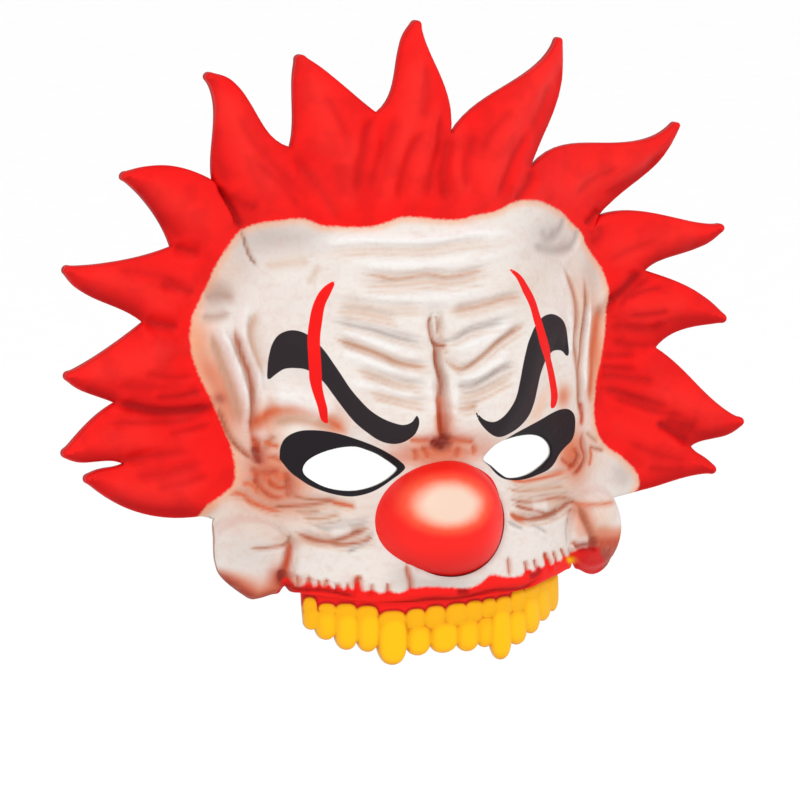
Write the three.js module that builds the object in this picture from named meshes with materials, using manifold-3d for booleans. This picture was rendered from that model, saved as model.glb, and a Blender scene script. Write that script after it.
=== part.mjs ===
// Clown half mask: a moulded foam sheet with a bulging face, a ring of flame shaped hair,
// a hollow nose ball, a strip of teeth behind the lip and an elastic strap round the back.
// Millimetres. +Z up, the mask looks along -Y, +X is the wearer's left.
// Origin: inner face of the forehead, on the midline, where the mask rests on the brow.
import * as THREE from 'three';
import { mergeVertices } from 'three/addons/utils/BufferGeometryUtils.js';
import Module from 'manifold-3d';

const wasm = await Module();
wasm.setup();

// Sheet
const WALL = 2.5;
const GAP = 0.3;

// Plan of the sheet: a face that bulges forward and flattens out into the hair
const SHEET_DEPTH = 57;
const TURN_SIDE = 67.6;
const TURN_POWER = 3.2;
const CROWN_BACK = 10;
const CROWN_START = 5;
const CROWN_SPAN = 80;
const CROWN_PULL = 0.55;
const PULL_START = 20;
const PULL_SPAN = 90;

// Outlines
const FACE_HALF = 92;
const FACE_RISE = 58;
const FACE_DROP = 104;
const HAIR_HALF = 147;
const HAIR_RISE = 134;
const HAIR_DROP = 72;
const TIP_WIDTH = 3;
const LOCK_LIFT = 2.6;
const LAP_LIFT = 1.6;
const LAP_REACH = 9;

// Eye holes
const EYE_SIDE = 36;
const EYE_LEVEL = -46;
const EYE_HALF_WIDTH = 17.5;
const EYE_HALF_HEIGHT = 9;

// Raised and sunk forms of the face, all hollow behind
const BROW_LIFT = 5;
const BROW_WIDTH = 9;
const SOCKET_SINK = 5;
const SOCKET_SPREAD = 1.35;
const APPLE_LIFT = 3.5;
const APPLE_SIDE = 47;
const APPLE_LEVEL = -70;
const APPLE_HALF_HEIGHT = 12;
const MUZZLE_LIFT = 7;
const MUZZLE_LEVEL = -95.5;
const MUZZLE_HALF_WIDTH = 43;
const MUZZLE_HALF_HEIGHT = 16.5;
const CHEEK_LIFT = 12;
const CHEEK_SIDE = 74;
const CHEEK_LEVEL = -82;
const CHEEK_HALF_WIDTH = 17;
const CHEEK_HALF_HEIGHT = 18;
const FOLD_LIFT = 1.3;
const FROWN_TOP = 34;
const FROWN_FOOT = -50;
const FROWN_FADE = 20;
const FROWN_LIFT = 2;
const FROWN_SIDE = 6.5;
const FROWN_WIDTH = 4;
const FROWN_CREASE = 2.4;

// Nose ball
const NOSE_HALF_WIDTH = 26.2;
const NOSE_HALF_HEIGHT = 24.2;
const NOSE_REACH = 25;
const NOSE_CENTRE = 3;
const NOSE_TAIL = 6;
const NOSE_LEVEL = -69.5;
const RIM_LIFT = 1.6;
const RIM_WIDTH = 3.5;
const NOSE_SIDES = 28;

// Teeth
const TEETH_HALF = 57;
const TOOTH_DROP = 23;
const TOOTH_LIFT = 3;
const TEETH_LAP = 4;

// Strap
const STRAP_HEIGHT = 10;
const STRAP_THICK = 1.2;
const STRAP_LEVEL = 1;
const STRAP_BEND = 7;
const HEAD_HALF_WIDTH = 86;
const HEAD_BACK = 198;
const HEAD_MIDDLE = 100;
const PATCH_WIDTH = 22;
const PATCH_HEIGHT = 16;
const PATCH_THICK = 1.5;
const PATCH_MARGIN = 2.5;

// Grid cells of the sheet's faces
const FACE_CELL = 5.3;
const HAIR_CELL = 6.8;
const TEETH_CELL = 3.8;
const FACE_BACK_CELL = 7;
const HAIR_BACK_CELL = 10;

// Flames, clockwise as seen from the front, starting low on the wearer's right.
// notch and tip: shares of HAIR_HALF across and of HAIR_RISE or HAIR_DROP up.
// rise and fall: how far each flank bows outwards at a third and two thirds of its length,
// as shares of that length.
const FLAMES = [
  { notch: [-0.60, -0.90], tip: [-0.925, -0.625], rise: [0.11, 0.11], fall: [0.07, 0.03] },
  { notch: [-0.81, -0.57], tip: [-0.985, -0.485], rise: [0.01, 0.08], fall: [0.04, 0.05] },
  { notch: [-0.825, -0.22], tip: [-0.965, -0.04], rise: [0.05, 0.08], fall: [-0.02, -0.02] },
  { notch: [-0.73, 0.12], tip: [-0.95, 0.305], rise: [0.03, 0.085], fall: [-0.03, -0.04] },
  { notch: [-0.645, 0.345], tip: [-0.795, 0.58], rise: [-0.06, -0.05], fall: [0.12, 0.12] },
  { notch: [-0.54, 0.545], tip: [-0.56, 0.875], rise: [-0.01, -0.045], fall: [0.11, 0] },
  { notch: [-0.35, 0.64], tip: [-0.32, 0.92], rise: [0, 0.03], fall: [0.03, 0.01] },
  { notch: [-0.115, 0.73], tip: [0.015, 1], rise: [-0.035, 0.05], fall: [0.03, 0.07] },
  { notch: [0.095, 0.65], tip: [0.455, 0.905], rise: [0.03, -0.025], fall: [0.12, 0.085] },
  { notch: [0.345, 0.52], tip: [0.825, 0.605], rise: [0.042, -0.04], fall: [0.13, 0.07] },
  { notch: [0.60, 0.335], tip: [0.975, 0.26], rise: [0.04, 0.035], fall: [0.085, 0.05] },
  { notch: [0.74, 0.15], tip: [0.965, -0.04], rise: [0.07, 0.09], fall: [-0.05, -0.09] },
  { notch: [0.755, -0.165], tip: [1, -0.625], rise: [0, -0.03], fall: [0.11, 0.04] },
  { notch: [0.845, -0.75], tip: [0.91, -0.90], rise: [0, 0.05], fall: [-0.02, -0.01] },
];
const FLAMES_END = [0.66, -0.985];

// The two darts: the flame whose notch each runs to, its inner end as shares of the face,
// and the way it leaves the notch outwards, as shares of HAIR_HALF and HAIR_RISE.
const DARTS = [
  { flame: 5, inner: [-0.72, 0.66], bend: [-0.495, 0.43], out: [-1.4, 1.45] },
  { flame: 10, inner: [0.80, 0.45], bend: [0.575, 0.30], out: [1.6, 0.47] },
];

// Half of the face's edge, from the top of the forehead down to the middle of the lip:
// shares of FACE_HALF across and of FACE_RISE or FACE_DROP up.
const FACE_EDGE = [
  [0, 0.95], [0.30, 0.95], [0.51, 1], [0.72, 0.93], [0.87, 0.72], [0.955, 0.46],
  [1, 0.17], [0.985, -0.04], [0.935, -0.17], [0.89, -0.29], [0.87, -0.42], [0.89, -0.52],
  [0.925, -0.61], [0.94, -0.70], [0.955, -0.79], [0.925, -0.88], [0.85, -0.945],
  [0.77, -0.95], [0.70, -0.915], [0.67, -0.875], [0.645, -0.91], [0.60, -0.93],
  [0.50, -0.945], [0.37, -0.965], [0.18, -0.975], [0, -0.98],
];

// Edge of an eye hole from its outer corner over the top, as shares of its half sizes.
const EYE_EDGE = [
  [1, 0], [0.82, 0.62], [0.47, 0.92], [0.1, 1], [-0.3, 0.82], [-0.7, 0.4], [-1, -0.1],
  [-0.7, -0.55], [-0.3, -0.9], [0.1, -1], [0.47, -0.9], [0.82, -0.5],
];

// Brow ridge: its line from the frown outwards, as shares of EYE_SIDE and EYE_LEVEL.
const BROW_LINE = [
  [0.3, 0.62], [0.62, 0.72], [0.95, 0.42], [1.25, 0.05], [1.6, -0.05], [1.95, 0.4],
];

// Folds across the forehead: level and sag as shares of FACE_RISE, half length as a share
// of FACE_HALF, half width in millimetres.
const FOREHEAD_FOLDS = [
  { level: 0.66, reach: 0.62, sag: 0.06, width: 4 },
  { level: 0.45, reach: 0.55, sag: 0.1, width: 3.6 },
  { level: 0.24, reach: 0.48, sag: 0.16, width: 3.6 },
  { level: 0.02, reach: 0.42, sag: 0.24, width: 3.6 },
];

// Teeth from the middle outwards: centre and half width as shares of TEETH_HALF, and how
// far each crown hangs as a share of TOOTH_DROP.
const TEETH = [
  { centre: 0, half: 0.08, drop: 1 },
  { centre: 0.158, half: 0.078, drop: 1 },
  { centre: 0.294, half: 0.066, drop: 0.97 },
  { centre: 0.434, half: 0.076, drop: 1.18 },
  { centre: 0.58, half: 0.072, drop: 0.95 },
  { centre: 0.715, half: 0.066, drop: 0.87 },
  { centre: 0.84, half: 0.062, drop: 0.72 },
  { centre: 0.945, half: 0.05, drop: 0.55 },
];

const smooth = (t) => {
  const c = Math.min(1, Math.max(0, t));
  return c * c * (3 - 2 * c);
};

const bump = (distance, width) => Math.exp(-((distance / width) ** 2));

const faceXZ = ([across, up]) => [across * FACE_HALF, up * (up > 0 ? FACE_RISE : FACE_DROP)];
const hairXZ = ([across, up]) => [across * HAIR_HALF, up * (up > 0 ? HAIR_RISE : HAIR_DROP)];
const browXZ = ([across, up]) => [across * EYE_SIDE, up * EYE_LEVEL];

// Distance from a point to a chain of straight pieces
function chainDistance(x, z, chain) {
  let best = Infinity;
  for (let i = 0; i + 1 < chain.length; i += 1) {
    const [ax, az] = chain[i];
    const dx = chain[i + 1][0] - ax;
    const dz = chain[i + 1][1] - az;
    const t = ((x - ax) * dx + (z - az) * dz) / (dx * dx + dz * dz);
    const c = Math.min(1, Math.max(0, t));
    best = Math.min(best, Math.hypot(x - ax - c * dx, z - az - c * dz));
  }
  return best;
}

const BROW_CHAIN = BROW_LINE.map(browXZ);

// The plain sheet: how far back its inner face lies
function plainDepth(x, z) {
  const turn = 1 - Math.exp(-((Math.abs(x) / TURN_SIDE) ** TURN_POWER));
  const pull = 1 - CROWN_PULL * smooth((z - PULL_START) / PULL_SPAN);
  return SHEET_DEPTH * turn * pull + CROWN_BACK * smooth((z - CROWN_START) / CROWN_SPAN);
}

// Round lobe of unit height inside an ellipse, zero outside it
function lobe(x, z, halfWidth, halfHeight) {
  const r2 = (x / halfWidth) ** 2 + (z / halfHeight) ** 2;
  return r2 < 1 ? (1 - r2) ** 0.75 : 0;
}

// Forms that the whole wall follows: brow, eye sockets, cheeks, muzzle
function form(x, z) {
  const side = Math.abs(x);
  const brow = BROW_LIFT * bump(chainDistance(side, z, BROW_CHAIN), BROW_WIDTH);
  const socket = SOCKET_SINK * bump(side - EYE_SIDE, SOCKET_SPREAD * EYE_HALF_WIDTH)
    * bump(z - EYE_LEVEL, SOCKET_SPREAD * EYE_HALF_HEIGHT);
  const apple = APPLE_LIFT * bump(side - APPLE_SIDE, EYE_HALF_WIDTH)
    * bump(z - APPLE_LEVEL, APPLE_HALF_HEIGHT);
  const muzzle = MUZZLE_LIFT * bump(x, MUZZLE_HALF_WIDTH)
    * bump(z - MUZZLE_LEVEL, MUZZLE_HALF_HEIGHT);
  const cheek = CHEEK_LIFT
    * lobe(side - CHEEK_SIDE, z - CHEEK_LEVEL, CHEEK_HALF_WIDTH, CHEEK_HALF_HEIGHT);
  return socket - brow - apple - muzzle - cheek;
}

const innerDepth = (x, z) => plainDepth(x, z) + form(x, z);

// Slope of the inner face, to keep the wall's thickness true where the sheet turns back
function slopeFactor(x, z) {
  const step = 0.5;
  const dx = (innerDepth(x + step, z) - innerDepth(x - step, z)) / (2 * step);
  const dz = (innerDepth(x, z + step) - innerDepth(x, z - step)) / (2 * step);
  return Math.min(2, Math.sqrt(1 + dx * dx + dz * dz));
}

// Folds pressed into the outer face only
function faceRelief(x, z) {
  const side = Math.abs(x);
  let lift = 0;
  for (const { level, reach, sag, width } of FOREHEAD_FOLDS) {
    const along = side / (reach * FACE_HALF);
    const line = FACE_RISE * (level - sag * (1 - along) ** 2);
    lift += FOLD_LIFT * bump(z - line, width) * smooth((1.25 - along) * 2);
  }
  const frown = smooth((FROWN_TOP - z) / FROWN_FADE) * smooth((z - FROWN_FOOT) / FROWN_FADE);
  lift += frown * (FROWN_LIFT * bump(side - FROWN_SIDE, FROWN_WIDTH)
    - FOLD_LIFT * bump(x, FROWN_CREASE));
  const ring = Math.hypot(x / NOSE_HALF_WIDTH, (z - NOSE_LEVEL) / NOSE_HALF_HEIGHT);
  const away = (ring - 1) * NOSE_HALF_WIDTH;
  lift += RIM_LIFT * bump(away, RIM_WIDTH);
  return lift;
}

// One flank of a flame as a cubic, bowed outwards to the left of its way
function flank(from, to, bow) {
  const [dx, dz] = [to[0] - from[0], to[1] - from[1]];
  const handles = [3 * bow[0] - 1.5 * bow[1], 3 * bow[1] - 1.5 * bow[0]];
  const point = (share, push) => new THREE.Vector2(
    from[0] + dx * share - dz * push, from[1] + dz * share + dx * push);
  return new THREE.CubicBezierCurve(new THREE.Vector2(...from), point(1 / 3, handles[0]),
    point(2 / 3, handles[1]), new THREE.Vector2(...to));
}

// Outer edge of the hair, closed through the middle of the face
function hairLoop() {
  const points = [];
  FLAMES.forEach(({ notch, tip, rise, fall }, i) => {
    const from = hairXZ(notch);
    const top = hairXZ(tip);
    const to = hairXZ(i + 1 < FLAMES.length ? FLAMES[i + 1].notch : FLAMES_END);
    const way = new THREE.Vector2(to[0] - from[0], to[1] - from[1]).normalize();
    const half = TIP_WIDTH / 2;
    const before = [top[0] - way.x * half, top[1] - way.y * half];
    const after = [top[0] + way.x * half, top[1] + way.y * half];
    points.push(...flank(from, before, rise).getPoints(5));
    points.push(...flank(after, to, fall).getPoints(5).slice(0, -1));
  });
  points.push(new THREE.Vector2(...hairXZ(FLAMES_END)));
  points.push(new THREE.Vector2(0.6 * FACE_HALF, -0.5 * FACE_DROP));
  points.push(new THREE.Vector2(-0.6 * FACE_HALF, -0.5 * FACE_DROP));
  return points;
}

const splineLoop = (rows, steps) => {
  const knots = rows.map(([x, z]) => new THREE.Vector3(x, z, 0));
  const curve = new THREE.CatmullRomCurve3(knots, true, 'centripetal');
  return curve.getPoints(steps).slice(0, -1).map((p) => new THREE.Vector2(p.x, p.y));
};

// Closed edge of the face: the half table and its mirror image
function faceLoop() {
  const half = FACE_EDGE.map(faceXZ);
  const mirrored = half.slice(1, -1).reverse().map(([x, z]) => [-x, z]);
  return splineLoop([...half, ...mirrored], 84);
}

const eyeLoop = (side, grow) => splineLoop(EYE_EDGE.map(([along, up]) => [
  side * (EYE_SIDE + along * (EYE_HALF_WIDTH + grow)), EYE_LEVEL + up * (EYE_HALF_HEIGHT + grow),
]), 22);

// The room that the nose ball takes in the face, a gap larger than the ball
function noseRoom() {
  const ball = new THREE.SphereGeometry(1, NOSE_SIDES, NOSE_SIDES / 2);
  ball.rotateX(Math.PI / 2);
  ball.scale(NOSE_HALF_WIDTH + GAP, NOSE_REACH + GAP, NOSE_HALF_HEIGHT + GAP);
  ball.translate(0, NOSE_CENTRE, NOSE_LEVEL);
  return solid(ball);
}

// Outline of the teeth: a straight hidden top and one rounded lobe for each crown
function teethLoop() {
  const row = [...TEETH.slice(1).reverse().map((t) => ({ ...t, centre: -t.centre })), ...TEETH];
  const lipLine = (x) => lipLevel(x) + TEETH_LAP;
  const points = [];
  const steps = 12;
  for (let i = 0; i <= steps; i += 1) {
    const x = TEETH_HALF * (1 - (2 * i) / steps);
    points.push(new THREE.Vector2(x, lipLine(x)));
  }
  for (const { centre, half, drop } of row) {
    for (const share of [-0.88, -0.35, 0.35, 0.88]) {
      const x = TEETH_HALF * (centre + half * share);
      const round = Math.sqrt(1 - share * share);
      points.push(new THREE.Vector2(x, lipLevel(x) - TOOTH_DROP * (drop - 0.22 * (1 - round))));
    }
  }
  return points;
}

// Level of the lip's lower edge
function lipLevel(x) {
  const share = Math.min(1, Math.abs(x) / TEETH_HALF);
  return -FACE_DROP * (0.98 - 0.055 * share ** 2.2);
}

// Domed crowns standing on the teeth strip
function toothRelief(x, z) {
  const below = smooth((lipLevel(x) - z) / 2.5);
  let crown = 0;
  for (const { centre, half, drop } of TEETH) {
    const across = (Math.abs(x) - TEETH_HALF * centre) / (TEETH_HALF * half * 1.08);
    const down = (lipLevel(x) - 0.56 * TOOTH_DROP * drop - z) / (0.62 * TOOTH_DROP * drop);
    const r = across ** 2 + down ** 4;
    crown = Math.max(crown, r < 1 ? Math.sqrt(1 - r) : 0);
  }
  return TOOTH_LIFT * below * crown;
}

// Flames as locks: a rounded ridge from each root to its tip, with grooves between them
const LOCKS = FLAMES.map(({ notch, tip }, i) => {
  const from = hairXZ(notch);
  const to = hairXZ(i + 1 < FLAMES.length ? FLAMES[i + 1].notch : FLAMES_END);
  const top = hairXZ(tip);
  const middle = [(from[0] + to[0]) / 2, (from[1] + to[1]) / 2];
  const root = [2 * middle[0] - top[0], 2 * middle[1] - top[1]];
  return { root, top, half: Math.hypot(to[0] - from[0], to[1] - from[1]) / 2 };
});

function lockRelief(x, z) {
  let lift = 0;
  for (const { root, top, half } of LOCKS) {
    const [dx, dz] = [top[0] - root[0], top[1] - root[1]];
    const t = ((x - root[0]) * dx + (z - root[1]) * dz) / (dx * dx + dz * dz);
    const width = half * Math.min(1, 2 * (1.08 - t)) + TIP_WIDTH / 2;
    const across = ((x - root[0]) * dz - (z - root[1]) * dx) / Math.hypot(dx, dz) / width;
    if (t > 0 && width > 0 && Math.abs(across) < 1) {
      lift = Math.max(lift, (1 - across * across) * smooth(t * 3));
    }
  }
  return LOCK_LIFT * lift;
}

// The side pieces lap proud of the crown along each dart
function lapRelief(x, z) {
  let lift = 0;
  for (const line of DARTS.map(dartLine)) {
    lift = Math.max(lift, bump(chainDistance(x, z, line.slice(0, 3)), LAP_REACH));
  }
  return LAP_LIFT * lift;
}

function dartLine({ flame, inner, bend, out }) {
  return [faceXZ(inner), hairXZ(bend), hairXZ(FLAMES[flame].notch), hairXZ(out)];
}

// Region of the crown between the two darts
function crownLoop(grow) {
  const [right, left] = DARTS.map(dartLine);
  const far = 2 * HAIR_RISE;
  const corners = [[0, 0], ...left, [left[3][0], far], [right[3][0], far], ...right.reverse()];
  return offsetLoop(corners.map(([x, z]) => new THREE.Vector2(x, z)), grow);
}

// Moves each corner of a closed loop outwards by the same distance
function offsetLoop(loop, distance) {
  const turn = THREE.ShapeUtils.area(loop) > 0 ? 1 : -1;
  return loop.map((point, i) => {
    const before = point.clone().sub(loop[(i + loop.length - 1) % loop.length]).normalize();
    const after = loop[(i + 1) % loop.length].clone().sub(point).normalize();
    const along = before.clone().add(after).normalize();
    const normal = new THREE.Vector2(along.y, -along.x).multiplyScalar(turn);
    const stretch = Math.max(0.5, Math.abs(normal.x * after.y * turn - normal.y * after.x * turn));
    return point.clone().addScaledVector(normal, distance / stretch);
  });
}

// A closed geometry as a solid
function solid(geometry) {
  const bare = geometry.clone();
  bare.deleteAttribute('normal');
  bare.deleteAttribute('uv');
  const merged = mergeVertices(bare, 1e-5);
  return new wasm.Manifold(new wasm.Mesh({
    numProp: 3,
    vertProperties: new Float32Array(merged.attributes.position.array),
    triVerts: new Uint32Array(merged.index.array),
  }));
}

function geometryOf(body) {
  const { vertProperties, triVerts } = body.getMesh();
  const geometry = new THREE.BufferGeometry();
  geometry.setAttribute('position', new THREE.BufferAttribute(new Float32Array(vertProperties), 3));
  geometry.setIndex(new THREE.BufferAttribute(new Uint32Array(triVerts), 1));
  geometry.computeVertexNormals();
  return geometry;
}

// A straight column along Y over an outline drawn in X and Z
function column(loop) {
  const ring = THREE.ShapeUtils.area(loop) > 0 ? loop : [...loop].reverse();
  const length = 4 * HEAD_BACK;
  const geometry = new THREE.ExtrudeGeometry(new THREE.Shape(ring),
    { depth: length, bevelEnabled: false, steps: 1 });
  geometry.rotateX(Math.PI / 2);
  geometry.translate(0, length / 2, 0);
  return solid(geometry);
}

// Everything behind the surface y = depth(x, z) over a rectangle, on a grid of cells
function behind(depth, [x0, z0, x1, z1], cell) {
  const columns = Math.ceil((x1 - x0) / cell);
  const rows = Math.ceil((z1 - z0) / cell);
  const plate = new THREE.BoxGeometry(x1 - x0, 2, z1 - z0, columns, 1, rows);
  const position = plate.attributes.position;
  for (let i = 0; i < position.count; i += 1) {
    const x = position.getX(i) + (x0 + x1) / 2;
    const z = position.getZ(i) + (z0 + z1) / 2;
    const y = position.getY(i) < 0 ? depth(x, z) : 2 * HEAD_BACK;
    position.setXYZ(i, x, y, z);
  }
  return solid(plate);
}

// Everything behind the sheet's inner face, or further back by a gap. What lies on the inner
// face is cut on the same grid of cells, so that it stays parallel to it.
function innerSide(gap, cell) {
  const reach = HAIR_HALF + cell;
  const frame = [-reach, -FACE_DROP - TOOTH_DROP - cell, reach, HAIR_RISE + cell];
  return behind((x, z) => innerDepth(x, z) + gap, frame, cell);
}

// A piece of sheet: the outline's column between an outer surface and the inner face
function sheet(loop, outer, cell, backCell) {
  const box = new THREE.Box2().setFromPoints(loop).expandByScalar(cell);
  const frame = [box.min.x, box.min.y, box.max.x, box.max.y];
  return behind(outer, frame, cell).subtract(innerSide(0, backCell)).intersect(column(loop));
}

const outerFace = (x, z) => innerDepth(x, z) - WALL * slopeFactor(x, z) - faceRelief(x, z);
const outerHair = (x, z) => innerDepth(x, z) - WALL * slopeFactor(x, z) - lockRelief(x, z);

function faceSheet() {
  let body = sheet(faceLoop(), outerFace, FACE_CELL, FACE_BACK_CELL);
  for (const side of [-1, 1]) {
    body = body.subtract(column(eyeLoop(side, 0)));
  }
  return body.subtract(noseRoom());
}

function hairPieces() {
  const around = column(offsetLoop(faceLoop(), GAP));
  const crown = sheet(hairLoop(), outerHair, HAIR_CELL, HAIR_BACK_CELL)
    .subtract(around).intersect(column(crownLoop(0)));
  const lapped = (x, z) => outerHair(x, z) - lapRelief(x, z);
  const wings = sheet(hairLoop(), lapped, HAIR_CELL, HAIR_BACK_CELL)
    .subtract(around).subtract(column(crownLoop(GAP)));
  const side = (sign) => wings.intersect(column([
    new THREE.Vector2(0, -2 * HAIR_RISE), new THREE.Vector2(2 * sign * HAIR_HALF, -2 * HAIR_RISE),
    new THREE.Vector2(2 * sign * HAIR_HALF, 2 * HAIR_RISE), new THREE.Vector2(0, 2 * HAIR_RISE),
  ]));
  return { crown, right: side(-1), left: side(1) };
}

// Hollow ball, open at the back
function noseBall() {
  const profile = [];
  const tail = Math.acos(-NOSE_TAIL / NOSE_REACH);
  const steps = 8;
  for (let i = 0; i <= steps; i += 1) {
    const angle = (tail * i) / steps;
    profile.push(new THREE.Vector2(Math.sin(angle), Math.cos(angle)));
  }
  const shell = (inset) => profile.map((p) => new THREE.Vector2(
    p.x * (1 - inset / NOSE_HALF_WIDTH), p.y * (NOSE_REACH - (p.y > 0 ? inset : 0))));
  const outer = shell(0);
  const inner = shell(WALL).reverse();
  const geometry = new THREE.LatheGeometry([...outer, ...inner].reverse(), NOSE_SIDES);
  geometry.scale(NOSE_HALF_WIDTH, 1, NOSE_HALF_HEIGHT);
  geometry.rotateX(Math.PI);
  geometry.translate(0, NOSE_CENTRE, NOSE_LEVEL);
  return geometry;
}

// The strip's top is tucked behind the lip, a gap away from its inner face
function teethStrip() {
  const loop = teethLoop();
  const box = new THREE.Box2().setFromPoints(loop).expandByScalar(TEETH_CELL);
  const frame = [box.min.x, box.min.y, box.max.x, box.max.y];
  const front = (x, z) => innerDepth(x, z) + GAP - toothRelief(x, z);
  const lip = column(offsetLoop(faceLoop(), GAP)).subtract(innerSide(GAP, FACE_BACK_CELL));
  return behind(front, frame, TEETH_CELL).subtract(innerSide(GAP + WALL, FACE_BACK_CELL))
    .intersect(column(loop)).subtract(lip);
}

const patchSide = () => FACE_HALF + PATCH_MARGIN + PATCH_WIDTH / 2;

// Plain patch glued to the inner face of a side piece
function strapPatch(side) {
  const [x, z] = [side * patchSide(), STRAP_LEVEL];
  const [w, h] = [PATCH_WIDTH / 2, PATCH_HEIGHT / 2];
  const corner = PATCH_HEIGHT / 5;
  const loop = [];
  for (const [sx, sz, start] of [[1, 1, 0], [-1, 1, 1], [-1, -1, 2], [1, -1, 3]]) {
    for (let i = 0; i <= 3; i += 1) {
      const angle = (Math.PI / 2) * (start + i / 3);
      loop.push(new THREE.Vector2(x + sx * (w - corner) + corner * Math.cos(angle),
        z + sz * (h - corner) + corner * Math.sin(angle)));
    }
  }
  return innerSide(GAP, HAIR_BACK_CELL).subtract(innerSide(GAP + PATCH_THICK, HAIR_BACK_CELL))
    .intersect(column(loop));
}

// Middle line of the strap in plan: along one patch, round the head and along the other
function strapLine() {
  const rest = GAP + PATCH_THICK + GAP + STRAP_THICK / 2;
  const start = patchSide() + 0.35 * PATCH_WIDTH;
  const turn = HEAD_HALF_WIDTH + STRAP_BEND;
  const points = [];
  for (const x of [start, (start + turn) / 2, turn]) {
    points.push([x, innerDepth(x, STRAP_LEVEL) + rest]);
  }
  const bendY = points[2][1] + STRAP_BEND;
  for (let i = 1; i <= 4; i += 1) {
    const angle = (Math.PI / 2) * (i / 4);
    points.push([turn - STRAP_BEND * Math.sin(angle), bendY - STRAP_BEND * Math.cos(angle)]);
  }
  const steps = 14;
  for (let i = 0; i < steps; i += 1) {
    const angle = (Math.PI / 2) * (i / steps);
    points.push([HEAD_HALF_WIDTH * Math.cos(angle),
      HEAD_MIDDLE + (HEAD_BACK - HEAD_MIDDLE) * Math.sin(angle)]);
  }
  const other = points.map(([x, y]) => [-x, y]).reverse();
  return [...points, [0, HEAD_BACK], ...other].map(([x, y]) => new THREE.Vector2(x, y));
}

function elasticStrap() {
  const line = strapLine();
  const edge = (sign) => line.map((point, i) => {
    const before = line[Math.max(0, i - 1)];
    const after = line[Math.min(line.length - 1, i + 1)];
    const along = after.clone().sub(before).normalize();
    return new THREE.Vector2(point.x - (sign * along.y * STRAP_THICK) / 2,
      point.y + (sign * along.x * STRAP_THICK) / 2);
  });
  const ring = [...edge(1), ...edge(-1).reverse()];
  const geometry = new THREE.ExtrudeGeometry(new THREE.Shape(ring),
    { depth: STRAP_HEIGHT, bevelEnabled: false, steps: 1 });
  geometry.translate(0, 0, STRAP_LEVEL - STRAP_HEIGHT / 2);
  return geometry;
}

const FINISHES = {
  skin: new THREE.MeshStandardMaterial({ color: 0xe9ddd2, roughness: 0.75, metalness: 0 }),
  hair: new THREE.MeshStandardMaterial({ color: 0xf02222, roughness: 0.75, metalness: 0 }),
  nose: new THREE.MeshStandardMaterial({ color: 0xf5281c, roughness: 0.55, metalness: 0 }),
  teeth: new THREE.MeshStandardMaterial({ color: 0xfac20e, roughness: 0.6, metalness: 0 }),
  elastic: new THREE.MeshStandardMaterial({ color: 0x1a1a1c, roughness: 0.85, metalness: 0 }),
  patch: new THREE.MeshStandardMaterial({ color: 0xe8e6e0, roughness: 0.85, metalness: 0 }),
};

function named(name, geometry, finish) {
  const mesh = new THREE.Mesh(geometry, finish);
  mesh.name = name;
  return mesh;
}

const mask = new THREE.Group();
const hair = hairPieces();
mask.add(named('face_sheet', geometryOf(faceSheet()), FINISHES.skin));
mask.add(named('hair_crown', geometryOf(hair.crown), FINISHES.hair));
mask.add(named('hair_wing_right', geometryOf(hair.right), FINISHES.hair));
mask.add(named('hair_wing_left', geometryOf(hair.left), FINISHES.hair));
mask.add(named('nose_ball', noseBall(), FINISHES.nose));
mask.add(named('teeth_strip', geometryOf(teethStrip()), FINISHES.teeth));
mask.add(named('elastic_strap', elasticStrap(), FINISHES.elastic));
mask.add(named('strap_patch_right', geometryOf(strapPatch(-1)), FINISHES.patch));
mask.add(named('strap_patch_left', geometryOf(strapPatch(1)), FINISHES.patch));

export default mask;
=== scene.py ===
"""Looks of the clown half mask.

A sheet of moulded foam with a printed face and flame shaped hair, a hollow nose ball, a strip
of teeth behind the lip, and an elastic strap on two sewn patches. Sizes are in millimetres
until a finished piece is brought to metres. X is the wearer's left, Y runs from the face back
to the head and Z is up.
"""
import logging
import math
from dataclasses import dataclass, field
from enum import Enum
from typing import Sequence

import bmesh
import bpy
import numpy as np
from mathutils import Matrix, Vector


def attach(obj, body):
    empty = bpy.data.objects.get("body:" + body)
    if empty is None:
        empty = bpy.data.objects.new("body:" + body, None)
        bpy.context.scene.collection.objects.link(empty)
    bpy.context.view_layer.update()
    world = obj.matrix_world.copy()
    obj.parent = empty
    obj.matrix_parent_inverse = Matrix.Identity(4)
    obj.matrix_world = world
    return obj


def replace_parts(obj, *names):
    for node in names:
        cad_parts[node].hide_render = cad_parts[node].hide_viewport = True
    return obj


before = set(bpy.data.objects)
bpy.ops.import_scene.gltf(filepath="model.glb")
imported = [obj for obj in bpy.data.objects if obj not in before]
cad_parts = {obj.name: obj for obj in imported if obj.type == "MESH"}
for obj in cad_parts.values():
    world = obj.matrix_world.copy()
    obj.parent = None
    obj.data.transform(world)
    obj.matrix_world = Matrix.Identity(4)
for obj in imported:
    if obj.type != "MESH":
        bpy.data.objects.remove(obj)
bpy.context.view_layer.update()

log = logging.getLogger("clown_half_mask")

MILLIMETRE = 0.001
Pair = tuple[float, float]
Spot = tuple[float, float, float]
Colour = tuple[float, float, float, float]
Rows = Sequence[Pair]
Array = np.ndarray
Socket = bpy.types.NodeSocket
Verts = list[bmesh.types.BMVert]


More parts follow.
